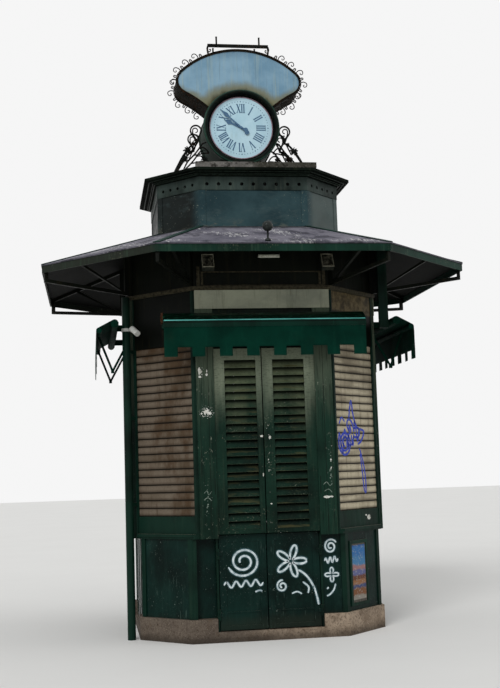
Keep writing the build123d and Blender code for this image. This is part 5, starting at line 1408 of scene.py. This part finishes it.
def cornice_rolls():
    bm = bmesh.new()
    for out, z, r in ((29, 4359, 6.5), (46, 4368, 4), (82, 4378, 6), (122.5, 4389, 5)):
        add_tube(bm, [lantern_corner(i, out, z) for i in range(8)], r, 10, True)
    # Rolls in the paler green of a painted highlight.
    finish_piece("cornice_rolls", bm, "cornice_roll_highlight")
    bm = bmesh.new()
    add_tube(bm, [lantern_corner(i, 4, 4219) for i in range(8)], 7, 10, True)
    finish_piece("band_roll", bm, "band")


def frieze_frame():
    at = on_side(0, WALL)
    box_piece("frieze_frame", at, "ledge", *((x0, x1, 0.2, 5, z0, z1, 1) for x0, x1, z0, z1 in (
        (-606, 606, 3223, 3236), (-606, -576, 3236, 3410), (-566, -544, 3236, 3352), (544, 566, 3236, 3352),
        (576, 606, 3236, 3410), (-566, 566, 3352, 3362),
    )))
    box_piece("signboard_streak", at, "black", (-384, -380.5, 6.1, 7, 3052, 3184))


awning_trim()
cornice_rolls()
frieze_frame()


# Poster behind its frame
def poster():
    at = on_side(1, OBLIQUE_BASE)
    x0, x1, z0, z1 = -204.0, 44.0, 281.0, 814.0
    bm = bmesh.new()
    add_box(bm, at, x0, x1, -1.8, -1.0, z0, z1)
    sheet = finish_piece("poster_sheet", bm, "green")
    p = Paint("poster_print", 0.35)
    height = p.wander("Z", 0.07, 11, 4)
    p.tone = (128, 122, 112)
    for level, shade in (
        (0.37, (112, 74, 48)), (0.43, (60, 70, 104)), (0.46, (132, 92, 62)),
        (0.51, (96, 60, 44)), (0.55, (88, 92, 132)), (0.60, (140, 104, 104)),
        (0.64, (64, 112, 152)), (0.72, (46, 98, 150)), (0.81, (32, 78, 132)),
    ):
        p.over(p.span(height, level, level + 0.02), shade)
    p.layer((150, 152, 146), 0.54, 0.66, 0.7, 38, 5, 0.6, (1, 1, 1.6))
    sheet.data.materials[0] = p.material
    bm = bmesh.new()
    low, high = z0 + 22, z1 - 14
    for a, b, c, d in (
        (x0, x1, z0, low), (x0, x1, high, z1), (x0, x0 + 10, low, high), (x1 - 10, x1, low, high),
    ):
        add_box(bm, at, a, b, -0.9, -0.3, c, d)
    finish_piece("poster_border", bm, "steel")


poster()


# Fittings of the eave lamps
def eave_fittings():
    at = on_side(0, WALL)
    glass, rim = bmesh.new(), bmesh.new()
    lean = math.radians(-28)
    for x in (-510, 606):
        def head(u, v, w, x=x):
            y, z = v * math.cos(lean) - w * math.sin(lean), v * math.sin(lean) + w * math.cos(lean)
            return at(x + u, 110 - y, 3424 + z)
        for a, b, c, d in ((-56, 56, -75, -66), (-56, 56, 66, 75), (-56, -48, -66, 66), (48, 56, -66, 66)):
            add_box(rim, head, a, b, -36, -29.2, c, d, 1)
        # Panes in the dark glass with painted glints.
        add_box(glass, head, -47, 47, -32, -29.2, -65, 65)
    finish_piece("lamp_rims", rim, "pale_metal")
    finish_piece("lamp_panes", glass, "lamp_glass_glints")
    bm = bmesh.new()
    add_tube(bm, [at(-28, 32, 3500), at(172, 32, 3500)], 16.8, 16)
    finish_piece("tube_lamp", bm, "tube_glass", smooth=True)


eave_fittings()


# Light, floor and background
def studio():
    world = bpy.data.worlds.new("studio")
    bpy.context.scene.world = world
    world.use_nodes = True
    tree = world.node_tree
    tree.nodes.clear()

    def node(kind):
        return tree.nodes.new("ShaderNode" + kind)

    out, path, choose = node("OutputWorld"), node("LightPath"), node("MixShader")
    seen, light = node("Background"), node("Background")
    seen.inputs["Color"].default_value = (0.92, 0.92, 0.92, 1)
    light.inputs["Color"].default_value = (1, 1, 1, 1)
    light.inputs["Strength"].default_value = 0.62
    background = path.outputs["Is Camera Ray"]
    for ray in ("Is Glossy Ray", "Is Transmission Ray"):
        larger = node("Math")
        larger.operation = "MAXIMUM"
        tree.links.new(background, larger.inputs[0])
        tree.links.new(path.outputs[ray], larger.inputs[1])
        background = larger.outputs[0]
    for value, socket in zip((background, light.outputs[0], seen.outputs[0]), choose.inputs):
        tree.links.new(value, socket)
    tree.links.new(choose.outputs[0], out.inputs["Surface"])

    for name, strength, spread, way in (
        ("key_light", 1.5, 28, (0.42, 0.72, -0.55)),
        ("rim_light", 0.5, 40, (-0.8, 0.1, -0.4)),
    ):
        lamp = bpy.data.lights.new(name, "SUN")
        lamp.energy = strength
        lamp.angle = math.radians(spread)
        holder = bpy.data.objects.new(name, lamp)
        holder.rotation_mode = "QUATERNION"
        holder.rotation_quaternion = Vector(way).to_track_quat("-Z", "Y")
        bpy.context.scene.collection.objects.link(holder)

    bm = bmesh.new()
    for x, y in ((-60, -60), (60, -60), (60, 60), (-60, 60)):
        bm.verts.new((x, y, -0.0005))
    bm.faces.new(list(bm.verts))
    data = bpy.data.meshes.new("floor")
    bm.to_mesh(data)
    bm.free()
    p = Paint("floor_paint", 0.9, 0, 0.1)
    p.base(p.mix(p.noise(0.6, 3), (226, 226, 224), (220, 220, 218)))
    data.materials.append(p.material)
    floor = bpy.data.objects.new("floor", data)
    bpy.context.scene.collection.objects.link(floor)


studio()
bpy.context.scene.view_settings.view_transform = "Standard"
